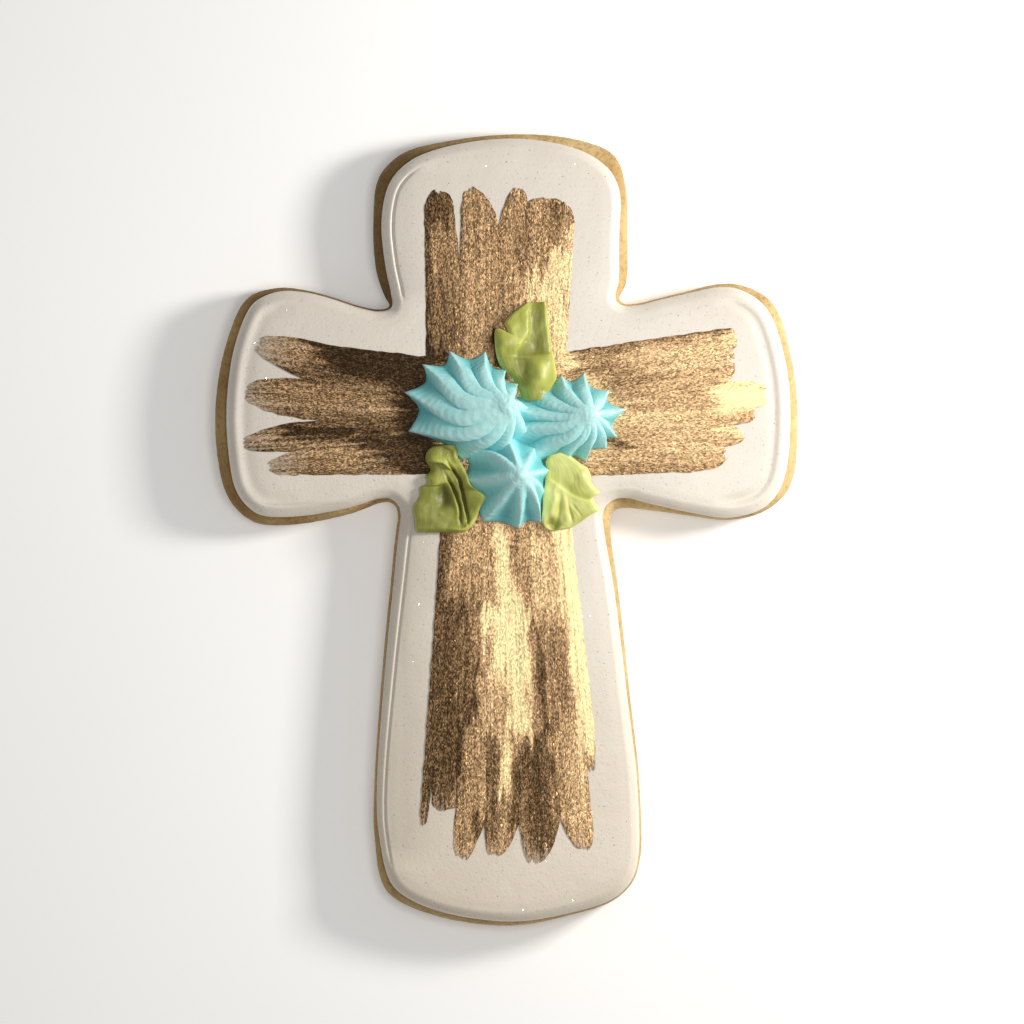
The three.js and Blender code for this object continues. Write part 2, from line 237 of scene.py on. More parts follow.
def ramp(factor, *stops):
    """A colour ramp from (position, colour) stops."""
    node = add_node(factor.id_data, "ShaderNodeValToRGB", {"Fac": factor})
    for spare in list(node.color_ramp.elements)[1:]:
        node.color_ramp.elements.remove(spare)
    node.color_ramp.elements[0].position = stops[0][0]
    node.color_ramp.elements[0].color = (*stops[0][1], 1)
    for position, colour in stops[1:]:
        node.color_ramp.elements.new(position).color = (*colour, 1)
    return node.outputs["Color"]


def mix_colour(factor, first, second, blend="MIX"):
    """Two colours mixed by a factor. The first is an output, the second that or a value."""
    if isinstance(second, tuple):
        second = (*second, 1)
    links = {0: factor, 6: first, 7: second}
    node = add_node(first.id_data, "ShaderNodeMix", links, data_type="RGBA", blend_type=blend)
    return node.outputs[2]


def stained(colour, pattern, stain, low=0.0, high=1.0, strength=1.0):
    """A colour under a stain: full where a pattern is low, gone where it is high."""
    stain = ramp(pattern, (low, stain), (high, WHITE))
    return mix_colour(strength, colour, stain, "MULTIPLY")


def bump(height, depth, under=None):
    """A bump of that depth in mm, on top of another one if it is given."""
    links = {"Height": height, "Distance": depth * MM}
    if under:
        links["Normal"] = under
    return add_node(height.id_data, "ShaderNodeBump", links).outputs["Normal"]


def baked_crumb():
    """Pale golden crumb, dry, with fine pits, darker in broad patches; painted shade at the left
    and top left.
    """
    material, place = new_material("baked_crumb", Roughness=0.82, Subsurface_Weight=0.06,
                                   Subsurface_Radius=(0.0012, 0.0007, 0.0003))
    patches = grain(place, 160, 3)
    dough = ramp(patches, (0.3, (0.50, 0.32, 0.12)), (0.7, (0.72, 0.54, 0.26)))
    # painted shade: the crumb is darkened towards the left
    across = span(split(place)["X"], *PAINTED_SHADE_LEFT)
    dough = stained(dough, across, (0.66, 0.60, 0.50))
    # painted shade: the crumb is darkened round a spot at the left of the top arm
    corner = vector_maths("DISTANCE", place, Vector(PAINTED_SHADE_CORNER) * MM)
    dough = stained(dough, span(corner, *PAINTED_SHADE_ROUND), (0.45, 0.40, 0.29))
    specks = grain(place, 1500)
    dough = stained(dough, specks, (0.74, 0.66, 0.54), 0.3, 0.5, strength=0.8)
    pits = bump(grain(place, 1900, 4, 0.7), 0.22)
    return cover(material, Base_Color=dough, Normal=bump(grain(place, 600), 0.3, pits))


cookie_loop = even_loop(loop_at("cookie_base", SIDE_HEIGHT), COOKIE_STEPS)
icing_edge = even_loop(loop_at("white_icing", ICING_FOOT), COOKIE_STEPS)
bare = distance_to(icing_edge, cookie_loop)[:, None]
into = inward(cookie_loop)
rings = [at_height(cookie_loop + into * inset, z) for inset, z in COOKIE_SIDE]
rings += [at_height(cookie_loop + into * bare * share, z) for share, z in COOKIE_SHOULDER]
rings.append(at_height(cookie_loop + into * (bare + UNDER_ICING), COOKIE_TOP))
cookie = make_piece("cookie", np.concatenate(rings), closed_stack(len(rings), COOKIE_STEPS))

tree, given = shape_tree("crumb", Crumb_Size="Float", Depth="Float")
crumbs = add_node(tree, "ShaderNodeTexNoise", {"Scale": given["Crumb Size"], "Detail": 3.0})
depth = maths("MULTIPLY", crumbs.outputs["Fac"], given["Depth"])
outward = add_node(tree, "GeometryNodeInputNormal").outputs[0]
sunk = vector_maths("SCALE", outward, depth)
pitted = add_node(tree, "GeometryNodeSetPosition", {"Geometry": given["Geometry"], "Offset": sunk})
finish_tree(tree, pitted.outputs[0], baked_crumb())
shape_piece(cookie, tree, Crumb_Size=900.0, Depth=-0.14 * MM)
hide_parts("cookie_base")
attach(cookie, "root")

# ---- The white icing ------------------------------------------------------------------------
# Royal icing: a bead is piped round the edge, the middle is flooded up to it, and both dry to one
# smooth satin coat. The flood has drawn away from the bead along the left of two arms.
ICING_TOP = COOKIE_TOP + 2.2
ICING_STEPS = 1100
ICING_UNDERSIDE = [(0.3, 0), (0.06, 0.2)]  # how far in, and how high above the cookie
ICING_INSETS = [0, 0.015, 0.05, 0.11, 0.19, 0.29, 0.42, 0.58, 0.76, 0.94, 1.1, 1.22, 1.34, 1.46,
                1.58, 1.7, 1.85, 2.0, 2.2, 2.45, 2.75, 3.1, 3.5, 4.0]
EDGE_WIDTH = 2.9
EDGE_ROUNDING = (2.4, 0.42)  # how late and how steeply the coat falls off at its edge
# where a stretch of the edge lies, from and to, and how softly it ends: across, then up
LEFT_SIDE, LEFT_END, RIGHT_END = (-60, -15, 7), (-60, -33, 3), (33, 60, 3)
TOP_ARM, BOTTOM_ARM, SIDE_ARMS = (34.5, 51, 1.5), (-46, 1, 3), (4, 32, 3)
# how deep a mark is, how far in from the edge, and how wide
BEAD, DIP_RIGHT, DIP_LEFT = (0.09, 1.2, 0.5), (0.28, 2.45, 0.7), (0.12, 2.6, 0.8)
OPEN_LINE_TOP, OPEN_LINE_BOTTOM = (0.42, 1.6, 0.16), (0.3, 1.4, 0.16)
LINE_DRIFT = 0.012  # how much farther in the lower open line runs with each mm up from y = -20
FLOOD_SPACING = 0.7
ROW_SPACING = FLOOD_SPACING * 0.87  # rows of points as in a honeycomb
KEEP_OFF = FLOOD_SPACING * 0.45  # how near the innermost ring no other point lies
SLUMP, SLUMP_LEFT = (0.2, 3.2), (0.75, 4.5)  # how far the coat sinks at its edge, and how widely
SWELL, RIPPLE = 0.06, 0.02


def window(value, low, high, soft):
    """1 between low and high, falling to 0 over a soft width outside them."""
    return np.clip((value - low) / soft + 1, 0, 1) * np.clip((high - value) / soft + 1, 0, 1)


def mark(inset, depth, middle, width):
    """How deep a mark along the edge is, at this distance in from the edge."""
    return depth * np.exp(-(((inset - middle) / width) ** 2))


def swell_of(x, y, length, layer):
    """A gentle swell of that length over the plane, from about -1 to 1."""
    return np.array([noise.noise((a / length, b / length, layer)) for a, b in zip(x, y)])


def icing_height(x, y, inset):
    """The height of the coat at a place, and at a distance in from its edge."""
    top_left = window(x, *LEFT_SIDE) * window(y, *TOP_ARM)
    bottom_left = window(x, *LEFT_SIDE) * window(y, *BOTTOM_ARM)
    right_end = window(x, *RIGHT_END) * window(y, *SIDE_ARMS)
    left_end = window(x, *LEFT_END) * window(y, *SIDE_ARMS)
    depth, middle, width = OPEN_LINE_BOTTOM
    middle = middle + LINE_DRIFT * (y + 20)
    open_line = mark(inset, *OPEN_LINE_TOP) * top_left
    open_line = open_line + mark(inset, depth, middle, width) * bottom_left
    dip = mark(inset, *DIP_RIGHT) * right_end + mark(inset, *DIP_LEFT) * left_end
    (sunk, width), (sunk_left, width_left) = SLUMP, SLUMP_LEFT
    slump = sunk * np.exp(-inset / width)
    slump = slump + sunk_left * np.exp(-inset / width_left) * (top_left + bottom_left)
    top = ICING_TOP + mark(inset, *BEAD) - open_line - dip - slump
    top = top + SWELL * swell_of(x, y, 11, 0.3) + RIPPLE * swell_of(x, y, 4, 2.7)
    late, steep = EDGE_ROUNDING
    from_edge = np.maximum(1 - inset / (EDGE_WIDTH - 0.8 * left_end), 0)
    return ICING_FOOT + (top - ICING_FOOT) * (1 - from_edge**late) ** steep


def inside(points, loop):
    """Whether each point of the plane is inside a closed loop."""
    x, y = points[:, 0], points[:, 1]
    crossings = np.zeros(len(points), int)
    for (x0, y0), (x1, y1) in zip(loop, np.roll(loop, -1, 0)):
        level = (y0 > y) != (y1 > y)
        if level.any():
            crossings[level] += x[level] < x0 + (y[level] - y0) * (x1 - x0) / (y1 - y0)
    return crossings % 2 == 1


def satin_icing():
    """Dried royal icing: creamy white and faintly translucent, with a soft sheen and fine dust."""
    material, place = new_material("satin_icing", Roughness=0.34, Subsurface_Weight=0.1,
                                   Subsurface_Radius=(0.0014, 0.001, 0.0007))
    clouds = grain(place, 60)
    coat = ramp(clouds, (0.35, (0.76, 0.70, 0.62)), (0.65, (0.82, 0.765, 0.68)))
    # the coat is tinted warmer and a little darker towards the bottom of the cookie
    up_the_cookie = span(split(place)["Y"], -55, 20)
    coat = stained(coat, up_the_cookie, (1.0, 0.965, 0.90))
    dust = grain(place, 2600, 1)
    coat = stained(coat, dust, (0.52, 0.49, 0.45), 0.26, 0.36, strength=0.28)
    skin = bump(grain(place, 600), 0.03)
    return cover(material, Base_Color=coat, Normal=bump(dust, 0.02, skin))


icing_loop = even_loop(loop_at("white_icing", ICING_FOOT), ICING_STEPS)
into = inward(icing_loop)
rings = [at_height(icing_loop + into * inset, COOKIE_TOP + z) for inset, z in ICING_UNDERSIDE]
for inset in ICING_INSETS:
    ring = icing_loop + into * inset
    rings.append(at_height(ring, icing_height(*ring.T, inset)))
inner_loop = rings[-1][:, :2]
low, high = inner_loop.min(0), inner_loop.max(0)
grid = np.array([
    (x, y)
    for row, y in enumerate(np.arange(low[1], high[1], ROW_SPACING))
    for x in np.arange(low[0] + FLOOD_SPACING / 2 * (row % 2), high[0], FLOOD_SPACING)
])
grid = grid[inside(grid, inner_loop)]
grid = grid[distance_to(inner_loop, grid) > KEEP_OFF]
flat = [tuple(p) for p in np.vstack([inner_loop, grid])]
border = [(i, (i + 1) % ICING_STEPS) for i in range(ICING_STEPS)]
filled = geometry.delaunay_2d_cdt(flat, border, [], 1, 1e-6)
flood = np.array([tuple(p) for p in filled[0]])
flood_height = icing_height(*flood.T, distance_to(icing_loop, flood))
flood_height[:ICING_STEPS] = rings[-1][:, 2]
start = (len(rings) - 1) * ICING_STEPS
sides, underside = wall(len(rings), ICING_STEPS)
faces = [*sides, *(tuple(start + i for i in face) for face in filled[2]), underside]
icing = make_piece("icing", np.concatenate(rings[:-1] + [at_height(flood, flood_height)]), faces)
icing.data.materials.append(satin_icing())
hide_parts("white_icing")
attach(icing, "root")

# ---- The gold brush strokes -----------------------------------------------------------------
# Edible lustre dust wetted with spirit and laid on the dry icing with a flat brush, from the middle
# out along each arm. The strokes overlap, show the bristles' marks and run dry at their tips.
#
# where a stroke starts and ends, its width at both, how long its end tapers, how blunt that is and
# how far its point slants to the left
STROKES = [
    ((-7.6, 12), (-9.8, 48.5), (7.6, 4.3), 3, 2.2, 0),
    ((0, 12), (-1.1, 44.3), (6.4, 3), 2.8, 1.6, 0),
    ((-4, 12), (-3.9, 49), (7.8, 5.2), 4.6, 1.5, 1.2),
    ((1.2, 12), (1.1, 48.8), (8, 4.2), 4.5, 1.6, -0.6),
    ((4.8, 12), (7.9, 46.8), (6, 4.2), 3.2, 2.2, 0),
    ((4.4, 12), (5.6, 47.6), (6.6, 5.6), 1.8, 2.4, 0),
    ((-7.2, 12), (-11.9, -42.4), (2.8, 1.2), 3, 2, 0),
    ((-6.9, 12), (-8.9, -40.2), (4.6, 3.9), 1.6, 2.4, 0),
    ((6.2, 12), (12.3, -34.5), (3.6, 2.2), 6, 1.4, 0),
    ((-4.3, 12), (-5, -46.9), (5.2, 4.7), 7, 1.5, -1.4),
    ((-0.8, 12), (-0.2, -46.6), (5.8, 5.4), 6.7, 1.6, -1.4),
    ((5.6, 12), (10.2, -45.7), (5.2, 4.7), 5.8, 1.8, 1),
    ((3.1, 12), (5.1, -47.5), (5.8, 6.1), 7.5, 1.6, -0.7),
    ((0, 19), (-35.5, 25.5), (9, 5.7), 9, 1.7, -1.2),
    ((0, 15.1), (-37.8, 13), (5.8, 4.2), 8, 1.6, 0.5),
    ((0, 17.5), (-37.3, 19.2), (6.6, 5.8), 8.4, 1.8, -0.7),
    ((0, 11.9), (-33.8, 9.4), (7.8, 3.5), 4, 1.7, 0.4),
    ((0, 12.8), (34, 13.6), (5.6, 3.2), 3, 1.8, 0),
    ((0, 21.5), (32.9, 27.6), (5.6, 3.4), 1.4, 2.4, 0),
    ((0, 18.6), (32.5, 24.5), (6, 5.7), 1.4, 2.2, 0),
    ((0, 14.8), (35.6, 16.7), (5.6, 3), 3.6, 1.8, 0),
    ((0, 16.8), (37.4, 19.5), (5.6, 4.5), 4.6, 1.9, 0),
    ((0, 9.7), (31.4, 10.7), (4.7, 4.4), 5, 2, 0),
]
STROKE_STEP = 0.75
TIP_STEPS = 12
TIP_LEFT = 0.3  # how much of its width a stroke keeps at its very end, where the bristles lift
BRISTLES = 40
COAT_HALF = 0.03  # half a stroke's own thickness, as a share of its half width
BACK_CORNER = 0.8
LAYERS, LAYER_STEP = 7, 0.013  # a stroke lies a little above the ones before it
STROKE_APART = 37.0  # sets each stroke's pattern apart from the next one's
BRUSH_HALF = 2.5  # the half width that all strokes have in the pattern of the bristles
DROP_FROM, DROP_DEPTH = 20, 30  # strokes drop on the icing from this height, by this much at most
# soft patches over the plain tone of each arm, brown near 0 and bright near 1: thin and thick dust,
# painted highlights and reflections, and painted shadows beside the flowers and leaves. The plain
# tones, darker on the left arm and lighter on the right, are painted reflection. Each patch: from x
# and y, to x and y, how wide, and how bright
TONE_TOP, TONE_BOTTOM, TONE_LEFT, TONE_RIGHT = 0.35, 0.4, 0.21, 0.49
TOP_HALF, TOP_FROM, SIDES_FROM = 13, 29, 10.5  # the top arm's half width, and where arms begin
DUST_AND_PAINTED_LIGHT = [
    (-9, 1, -9.6, -10, 1.1, 0.18), (-7.8, -12.2, -8.9, -36, 3.6, 0.12),
    (-6.4, -14, -6.9, -22, 0.8, 0.24), (-4, -17.5, -5.6, -27.5, 0.35, 0.04),
    (-6.2, -27.5, -7, -36, 0.5, 0.05), (-5.1, -30, -5.4, -44, 1.3, 0.34),
    (-1.8, -20, -2.6, -28, 1.3, 0.55), (-1.2, -1, 0.4, -9.5, 1.1, 0.85),
    (-2.8, -12.4, 2.6, -12.8, 1.3, 0.98), (-0.1, -13, 0.6, -18.5, 2.8, 0.95),
    (1.6, -18, 2, -28, 1.7, 0.92), (4.8, -2, 5.8, -11, 1.9, 0.56), (8, 1, 10.2, -12, 1.6, 1.05),
    (10.2, -12, 11.6, -24, 1.6, 1.1), (11.6, -24, 12.3, -31, 1.3, 1.05),
    (6.2, -16, 6.4, -26, 2.3, 0.3), (5.9, -27, 6, -28, 0.9, 0), (4, -14.5, 6.6, -34, 0.4, 0.12),
    (4.4, -31.5, 4.9, -45, 2.3, 0.13), (2.2, -33, 1, -43, 0.9, 0.15),
    (-2, -30, -1.8, -44, 1.1, 0.22), (0.2, -28, -0.4, -38, 0.6, 0.85),
    (-4, -41, -4.3, -44, 0.8, 0.12), (9.8, -29, 10.2, -44, 1.8, 0.5),
    (-10, 48, -10, 44.8, 2.4, 0.09), (-9.6, 42, -8.8, 36, 2.2, 0.3),
    (-9.4, 34, -8.4, 22, 2.6, 0.2), (-11.4, 46, -11.3, 26, 0.5, 0.1),
    (-4.4, 47.5, -3.6, 38, 1.8, 0.34), (-4, 36, -1, 27, 3.2, 0.37),
    (1.6, 43, 2.4, 39.5, 0.9, 0.26), (6.4, 46.5, 5.6, 41, 2.2, 0.33),
    (7.2, 46.5, 7.9, 44.5, 0.9, 0.2), (9.8, 43, 9.3, 37, 1.2, 0.7),
    (7.4, 38.8, 8.4, 37.6, 1.3, 0.95), (3.4, 34.4, 8.6, 35.8, 1.9, 0.74),
    (6.2, 32.6, 8.4, 29.6, 1.9, 0.78), (8.6, 29, 8.6, 24, 1.5, 0.82),
    (-27, 26, -13, 22.5, 2.8, -0.05), (-12.8, 25, -12.4, 8, 2.9, -0.1),
    (-35.5, 26.5, -29, 25.5, 1.9, 0.32), (-35, 20, -18, 18, 1.9, 0.29),
    (-32, 14.3, -23, 13.9, 0.8, -0.02), (-20, 13, -12, 10, 1.9, 0.02),
    (-31, 11.5, -22, 10.5, 1.3, 0.33), (-37, 13, -34, 13.2, 1.2, 0.36),
    (-1.9, 27, -0.6, 22.6, 0.7, -0.16), (-9.6, 25.4, -10.8, 24.6, 0.8, -0.1),
    (11, 25.5, 18, 21, 2.4, 0.34), (14, 25.5, 31, 28.8, 0.6, 0.28), (20, 15.5, 30, 13, 2.2, 0.56),
    (22, 25, 31, 25, 2, 0.54), (32, 28, 33, 27, 0.8, 0.72), (32.3, 19.4, 37, 19.8, 2.1, 1.2),
    (32.2, 14.6, 34.2, 14, 0.9, 0.92), (15, 12.8, 16.5, 12.2, 0.9, 0.2),
    (14, 8.6, 28, 8.6, 0.9, 0.4),
]
PATCH_RUN = (0.7, 5)  # the patches' edges wander at this scale across and along the strokes
PATCH_WANDER = 1.2
PATCH_TEETH = (0.6, 15)  # bristles carry them on in teeth of this width and length
TEETH_REACH = 3.4
THIN_EDGE = 0.13  # how much browner a stroke is at its two sides
DRY_LENGTH = 9
DRIER, LESS_DRY = 0.5, 0.1  # how dry the tips are on the left and lower arms, and on the others
BROWNEST = 0.08  # the patches below this tone are never dry
FLAKES_PER_METRE = 8500.0
GRIP = (0.9, 1.6, 1.62)  # how clumps and streaks keep dry gold on, and how much of both bares it
TILT_THIN, TILT_CHANGE = 0.62, -0.36  # how far flakes lean where thin, and the change to thick


def stroke_path(start, end, widths, taper, blunt, slant):
    """A stroke's middle line and half widths, at even steps up to its tip."""
    start, end = np.array(start), np.array(end)
    length = np.linalg.norm(end - start)
    along = (end - start) / length
    across = np.array([-along[1], along[0]])
    body = np.arange(0, length - taper, STROKE_STEP)
    tip = length - taper + taper * np.sin(np.linspace(0, 0.5 * math.pi, TIP_STEPS))
    distance = np.concatenate([body, tip])
    share = np.clip((distance - length + taper) / taper, 0, 1)
    half = np.interp(distance, [0, length - taper], np.array(widths) / 2)
    half *= TIP_LEFT + (1 - TIP_LEFT) * np.maximum(1 - share**blunt, 0) ** (1 / blunt)
    return start + distance[:, None] * along + (slant * share)[:, None] * across, half


def near_segment(flat, start, end, width):
    """1 on a line between two places, falling to 0 over a width beside it."""
    along = end - start
    share = np.clip(((flat - start) @ along) / max(along @ along, 1e-9), 0, 1)
    off = np.linalg.norm(flat - start - share[:, None] * along, axis=1)
    return np.exp(-((off / width) ** 3))


def brush_section():
    """A stroke's cross-section, from -1 to 1, head down: ridged by bristles, with a flat back."""
    ridged = [-math.cos(math.pi * i / (BRISTLES - 1)) for i in range(BRISTLES)]
    ridged = [(x, -COAT_HALF * (1 - x**4) - 0.008 * noise.noise((9 * x, 1.5, 0))) for x in ridged]
    return [*ridged, (BACK_CORNER, COAT_HALF), (-BACK_CORNER, COAT_HALF)]


def curve_piece(name, runs, closed=False):
    """A curve object of straight runs of (x, y, z) points and their radii."""
    curve = bpy.data.curves.new(name, "CURVE")
    curve.dimensions = "3D"
    for points, radii in runs:
        spline = curve.splines.new("POLY")
        spline.points.add(len(points) - 1)
        spline.points.foreach_set("co", np.column_stack([points, np.ones(len(points))]).ravel())
        spline.points.foreach_set("radius", radii)
        spline.use_cyclic_u = closed
    piece = bpy.data.objects.new(name, curve)
    bpy.context.scene.collection.objects.link(piece)
    return piece


def lustre_paint():
    """Gold flakes at all angles, streaked and dry at the ends: brown where thin, cream where thick,
    with painted highlights, reflections and shadows.
    """
    material, place = new_material("lustre_paint", Roughness=0.4)
    tree = material.node_tree
    brushed = add_node(tree, "ShaderNodeAttribute", attribute_name="brushed").outputs["Vector"]
    laid = add_node(tree, "ShaderNodeAttribute", attribute_name="laid").outputs["Vector"]
    # thick carries the tone: dust thickness with painted highlights, reflections and shadows
    thick, dry, _ = split(laid)
    lengthwise = vector_maths("MULTIPLY", brushed, (1, 0.03, 1))
    drawn_out = vector_maths("MULTIPLY", brushed, (1, 0.4, 1))
    streak, band = grain(lengthwise, 2400, 3, 0.6), grain(lengthwise, 650, 1)
    clump = grain(place, 2600)
    links = {"Vector": drawn_out, "Scale": FLAKES_PER_METRE}
    flakes = add_node(tree, "ShaderNodeTexVoronoi", links).outputs["Color"]
    uneven = -0.68
    patterns = (streak, 0.52), (band, 0.4), (clump, 0.1), (split(flakes)["X"], 0.34)
    for pattern, strength in patterns:
        uneven = maths("MULTIPLY_ADD", pattern, strength, uneven)
    greys = (0, 0.32), (0.25, 0.6), (0.6, 0.8), (1, 0.5)
    contrast = ramp(thick, *((at, (grey, grey, grey)) for at, grey in greys))
    tone = maths("MULTIPLY_ADD", uneven, contrast, thick)
    gold = ramp(tone, (0, (0.06, 0.032, 0.012)), (0.12, (0.15, 0.084, 0.034)),
                (0.3, (0.36, 0.22, 0.105)), (0.5, (0.72, 0.46, 0.235)), (0.66, (0.92, 0.68, 0.36)),
                (0.8, (1.0, 0.79, 0.40)), (1, (1.0, 0.88, 0.46)))
    by_clump, by_streak, held = GRIP
    lifted = maths("MULTIPLY_ADD", clump, by_clump, dry)
    lifted = maths("SUBTRACT", maths("MULTIPLY_ADD", streak, by_streak, lifted), held)
    bare = maths("MULTIPLY", lifted, 3.0)
    bare.node.use_clamp = True
    metal = maths("MULTIPLY_ADD", bare, -0.6, maths("MULTIPLY_ADD", tone, -0.2, 0.72))
    metal.node.use_clamp = True
    grooves = bump(clump, 0.05, bump(streak, 0.06))
    tilt = vector_maths("SUBTRACT", flakes, (0.5, 0.5, 0.5))
    tilt = vector_maths("SCALE", tilt, maths("MULTIPLY_ADD", thick, TILT_CHANGE, TILT_THIN))
    facing = vector_maths("NORMALIZE", vector_maths("ADD", tilt, grooves))
    gold = mix_colour(bare, gold, (0.50, 0.38, 0.27))
    return cover(material, Base_Color=gold, Metallic=metal, Normal=facing)


paths = [stroke_path(*stroke) for stroke in STROKES]
runs = [
    (at_height(line, LAYER_STEP * (order % LAYERS)) * MM, half * MM)
    for order, (line, half) in enumerate(paths)
]
stroke_paths = curve_piece("stroke_paths", runs)
section = np.array([(x, y, 0) for x, y in brush_section()])
stroke_section = curve_piece("stroke_section", [(section, np.ones(len(section)))], closed=True)

tree, given = shape_tree("brush", Strokes="Object", Section="Object", Icing="Object",
                         Paint_Thickness="Float", Bristle_Marks="Float", Ragged_Edge="Float",
                         Bristle_Spread="Float", Tip_Length="Float")


def keep(shape, name, value, kind="FLOAT", domain="POINT"):
    """A shape with a named value stored on it."""
    links = {"Geometry": shape, "Name": name, "Value": value}
    settings = {"data_type": kind, "domain": domain}
    return add_node(tree, "GeometryNodeStoreNamedAttribute", links, **settings).outputs[0]


def kept(name, kind="FLOAT"):
    """A value that was stored before."""
    links = {"Name": name}
    return add_node(tree, "GeometryNodeInputNamedAttribute", links, data_type=kind).outputs[0]


def join(**numbers):
    """A vector from its X, Y and Z, where one that isn't given is 0."""
    return add_node(tree, "ShaderNodeCombineXYZ", numbers).outputs[0]


def shape_of(label):
    """The shape of an object that is an input of the tree."""
    return add_node(tree, "GeometryNodeObjectInfo", {"Object": given[label]}).outputs["Geometry"]


def move(shape, offset):
    """A shape with its points moved."""
    links = {"Geometry": shape, "Offset": offset}
    return add_node(tree, "GeometryNodeSetPosition", links).outputs[0]


# the middle lines, with what each point of a stroke will need to know
run = add_node(tree, "GeometryNodeSplineParameter").outputs["Length"]
whole = add_node(tree, "GeometryNodeSplineLength").outputs["Length"]
near_tip = maths("SUBTRACT", maths("ADD", run, given["Tip Length"]), whole)
near_tip = maths("DIVIDE", near_tip, given["Tip Length"])
near_tip = maths("POWER", maths("MAXIMUM", near_tip, 0.0), 1.5)
heading = add_node(tree, "GeometryNodeInputTangent").outputs[0]
lines = shape_of("Strokes")
lines = keep(lines, "stroke", add_node(tree, "GeometryNodeInputIndex").outputs[0], domain="CURVE")
lines = keep(lines, "along", run)
lines = keep(lines, "near_tip", near_tip)
lines = keep(lines, "heading", heading, "FLOAT_VECTOR")
lines = add_node(tree, "GeometryNodeSetCurveNormal", {"Curve": lines}, mode="Z_UP").outputs[0]
# the cross-section, swept along them
here = add_node(tree, "GeometryNodeInputPosition").outputs[0]
spot = split(here)
profile = keep(shape_of("Section"), "across", spot["X"])
profile = keep(profile, "under", maths("GREATER_THAN", spot["Y"], 0.02))
swept = add_node(tree, "GeometryNodeCurveToMesh", {
    "Curve": lines, "Profile Curve": profile, "Fill Caps": True,
    "Scale": add_node(tree, "GeometryNodeInputRadius").outputs[0],
}).outputs[0]
reach = maths("MULTIPLY", kept("across"), BRUSH_HALF * MM)
apart = maths("MULTIPLY", kept("stroke"), STROKE_APART * MM)
brushed = join(X=reach, Y=kept("along"), Z=apart)
swept = keep(swept, "brushed", brushed, "FLOAT_VECTOR")
# a ragged outline, and bristles that spread at the tip
fray = add_node(tree, "ShaderNodeTexNoise", {"Vector": here, "Scale": 900.0, "Detail": 2.0})
fray = vector_maths("SUBTRACT", fray.outputs["Color"], (0.5, 0.5, 0.5))
fray = vector_maths("SCALE", fray, given["Ragged Edge"])
hair = grain(join(X=reach, Y=apart), 1400)
hair = maths("SUBTRACT", hair, maths("ADD", kept("under"), 0.5))
hair = maths("MULTIPLY", hair, given["Bristle Spread"])
hair = maths("MULTIPLY", hair, kept("near_tip"))
comb = vector_maths("SCALE", kept("heading", "FLOAT_VECTOR"), hair)
shift = split(vector_maths("ADD", fray, comb))
frayed = move(swept, join(X=shift["X"], Y=shift["Y"]))
# dropped on the icing, and ridged by the bristles
touch = add_node(tree, "GeometryNodeRaycast", {
    "Target Geometry": shape_of("Icing"),
    "Source Position": join(X=spot["X"], Y=spot["Y"], Z=DROP_FROM * MM),
    "Ray Direction": (0, 0, -1), "Ray Length": DROP_DEPTH * MM,
})
surface = split(touch.outputs["Hit Position"])["Z"]
marks = grain(vector_maths("MULTIPLY", brushed, (1700, 60, 1000)), 1.0, 1.0)
ridge = maths("MULTIPLY", marks, given["Bristle Marks"])
ridge = maths("MULTIPLY", ridge, maths("MULTIPLY_ADD", kept("under"), -1.0, 1.0))
rise = maths("ADD", maths("ADD", surface, ridge), given["Paint Thickness"])
finish_tree(tree, move(frayed, join(Z=rise)), lustre_paint())
gold = make_piece("gold_strokes")
shape_piece(gold, tree, Strokes=stroke_paths, Section=stroke_section, Icing=icing,
            Paint_Thickness=0.04 * MM, Bristle_Marks=0.03 * MM, Ragged_Edge=0.55 * MM,
            Bristle_Spread=2.4 * MM, Tip_Length=5.0 * MM)
bpy.data.objects.remove(stroke_paths)
bpy.data.objects.remove(stroke_section)

# where each point lies on its own stroke, measured again on the finished shape
places, brushed = np.zeros((2, len(gold.data.vertices) * 3))
gold.data.vertices.foreach_get("co", places)
gold.data.attributes["brushed"].data.foreach_get("vector", brushed)
places, brushed = places.reshape(-1, 3) / MM, brushed.reshape(-1, 3) / MM
stroke = np.round(brushed[:, 2] / STROKE_APART).astype(int)
starts, ends = (np.array([path[end] for path in STROKES])[stroke] for end in (0, 1))
lengths = np.linalg.norm(ends - starts, axis=1)
ahead = (ends - starts) / lengths[:, None]
off = places[:, :2] - starts
edge = np.abs(brushed[:, 0] / BRUSH_HALF) ** 10
brushed[:, 0] = off[:, 0] * ahead[:, 1] - off[:, 1] * ahead[:, 0]
brushed[:, 1] = (off * ahead).sum(1)
gold.data.attributes["brushed"].data.foreach_set("vector", (brushed * MM).ravel())
# how thick and how dry the dust lies there, with painted highlights, reflections and shadows in the
# tone
x, y = places[:, 0], places[:, 1]
top_arm = (y > TOP_FROM) & (np.abs(x) < TOP_HALF)
right_arm, left_arm = (x > SIDES_FROM) & (y > 0), x < -SIDES_FROM
tones = [TONE_TOP, TONE_RIGHT, TONE_LEFT, TONE_TOP]
tone = np.select([top_arm, right_arm, left_arm, y > 25], tones, TONE_BOTTOM)
noise.seed_set(7)  # noise_vector differs in every run without a seed
runs = np.column_stack([brushed[:, :2] / PATCH_RUN, brushed[:, 2]])
patchy = places[:, :2] + PATCH_WANDER * np.array([noise.noise_vector(spot)[:2] for spot in runs])
teeth = np.column_stack([brushed[:, :2] / PATCH_TEETH, brushed[:, 2]])
patchy = patchy + TEETH_REACH * np.array([noise.noise(spot) for spot in teeth])[:, None] * ahead
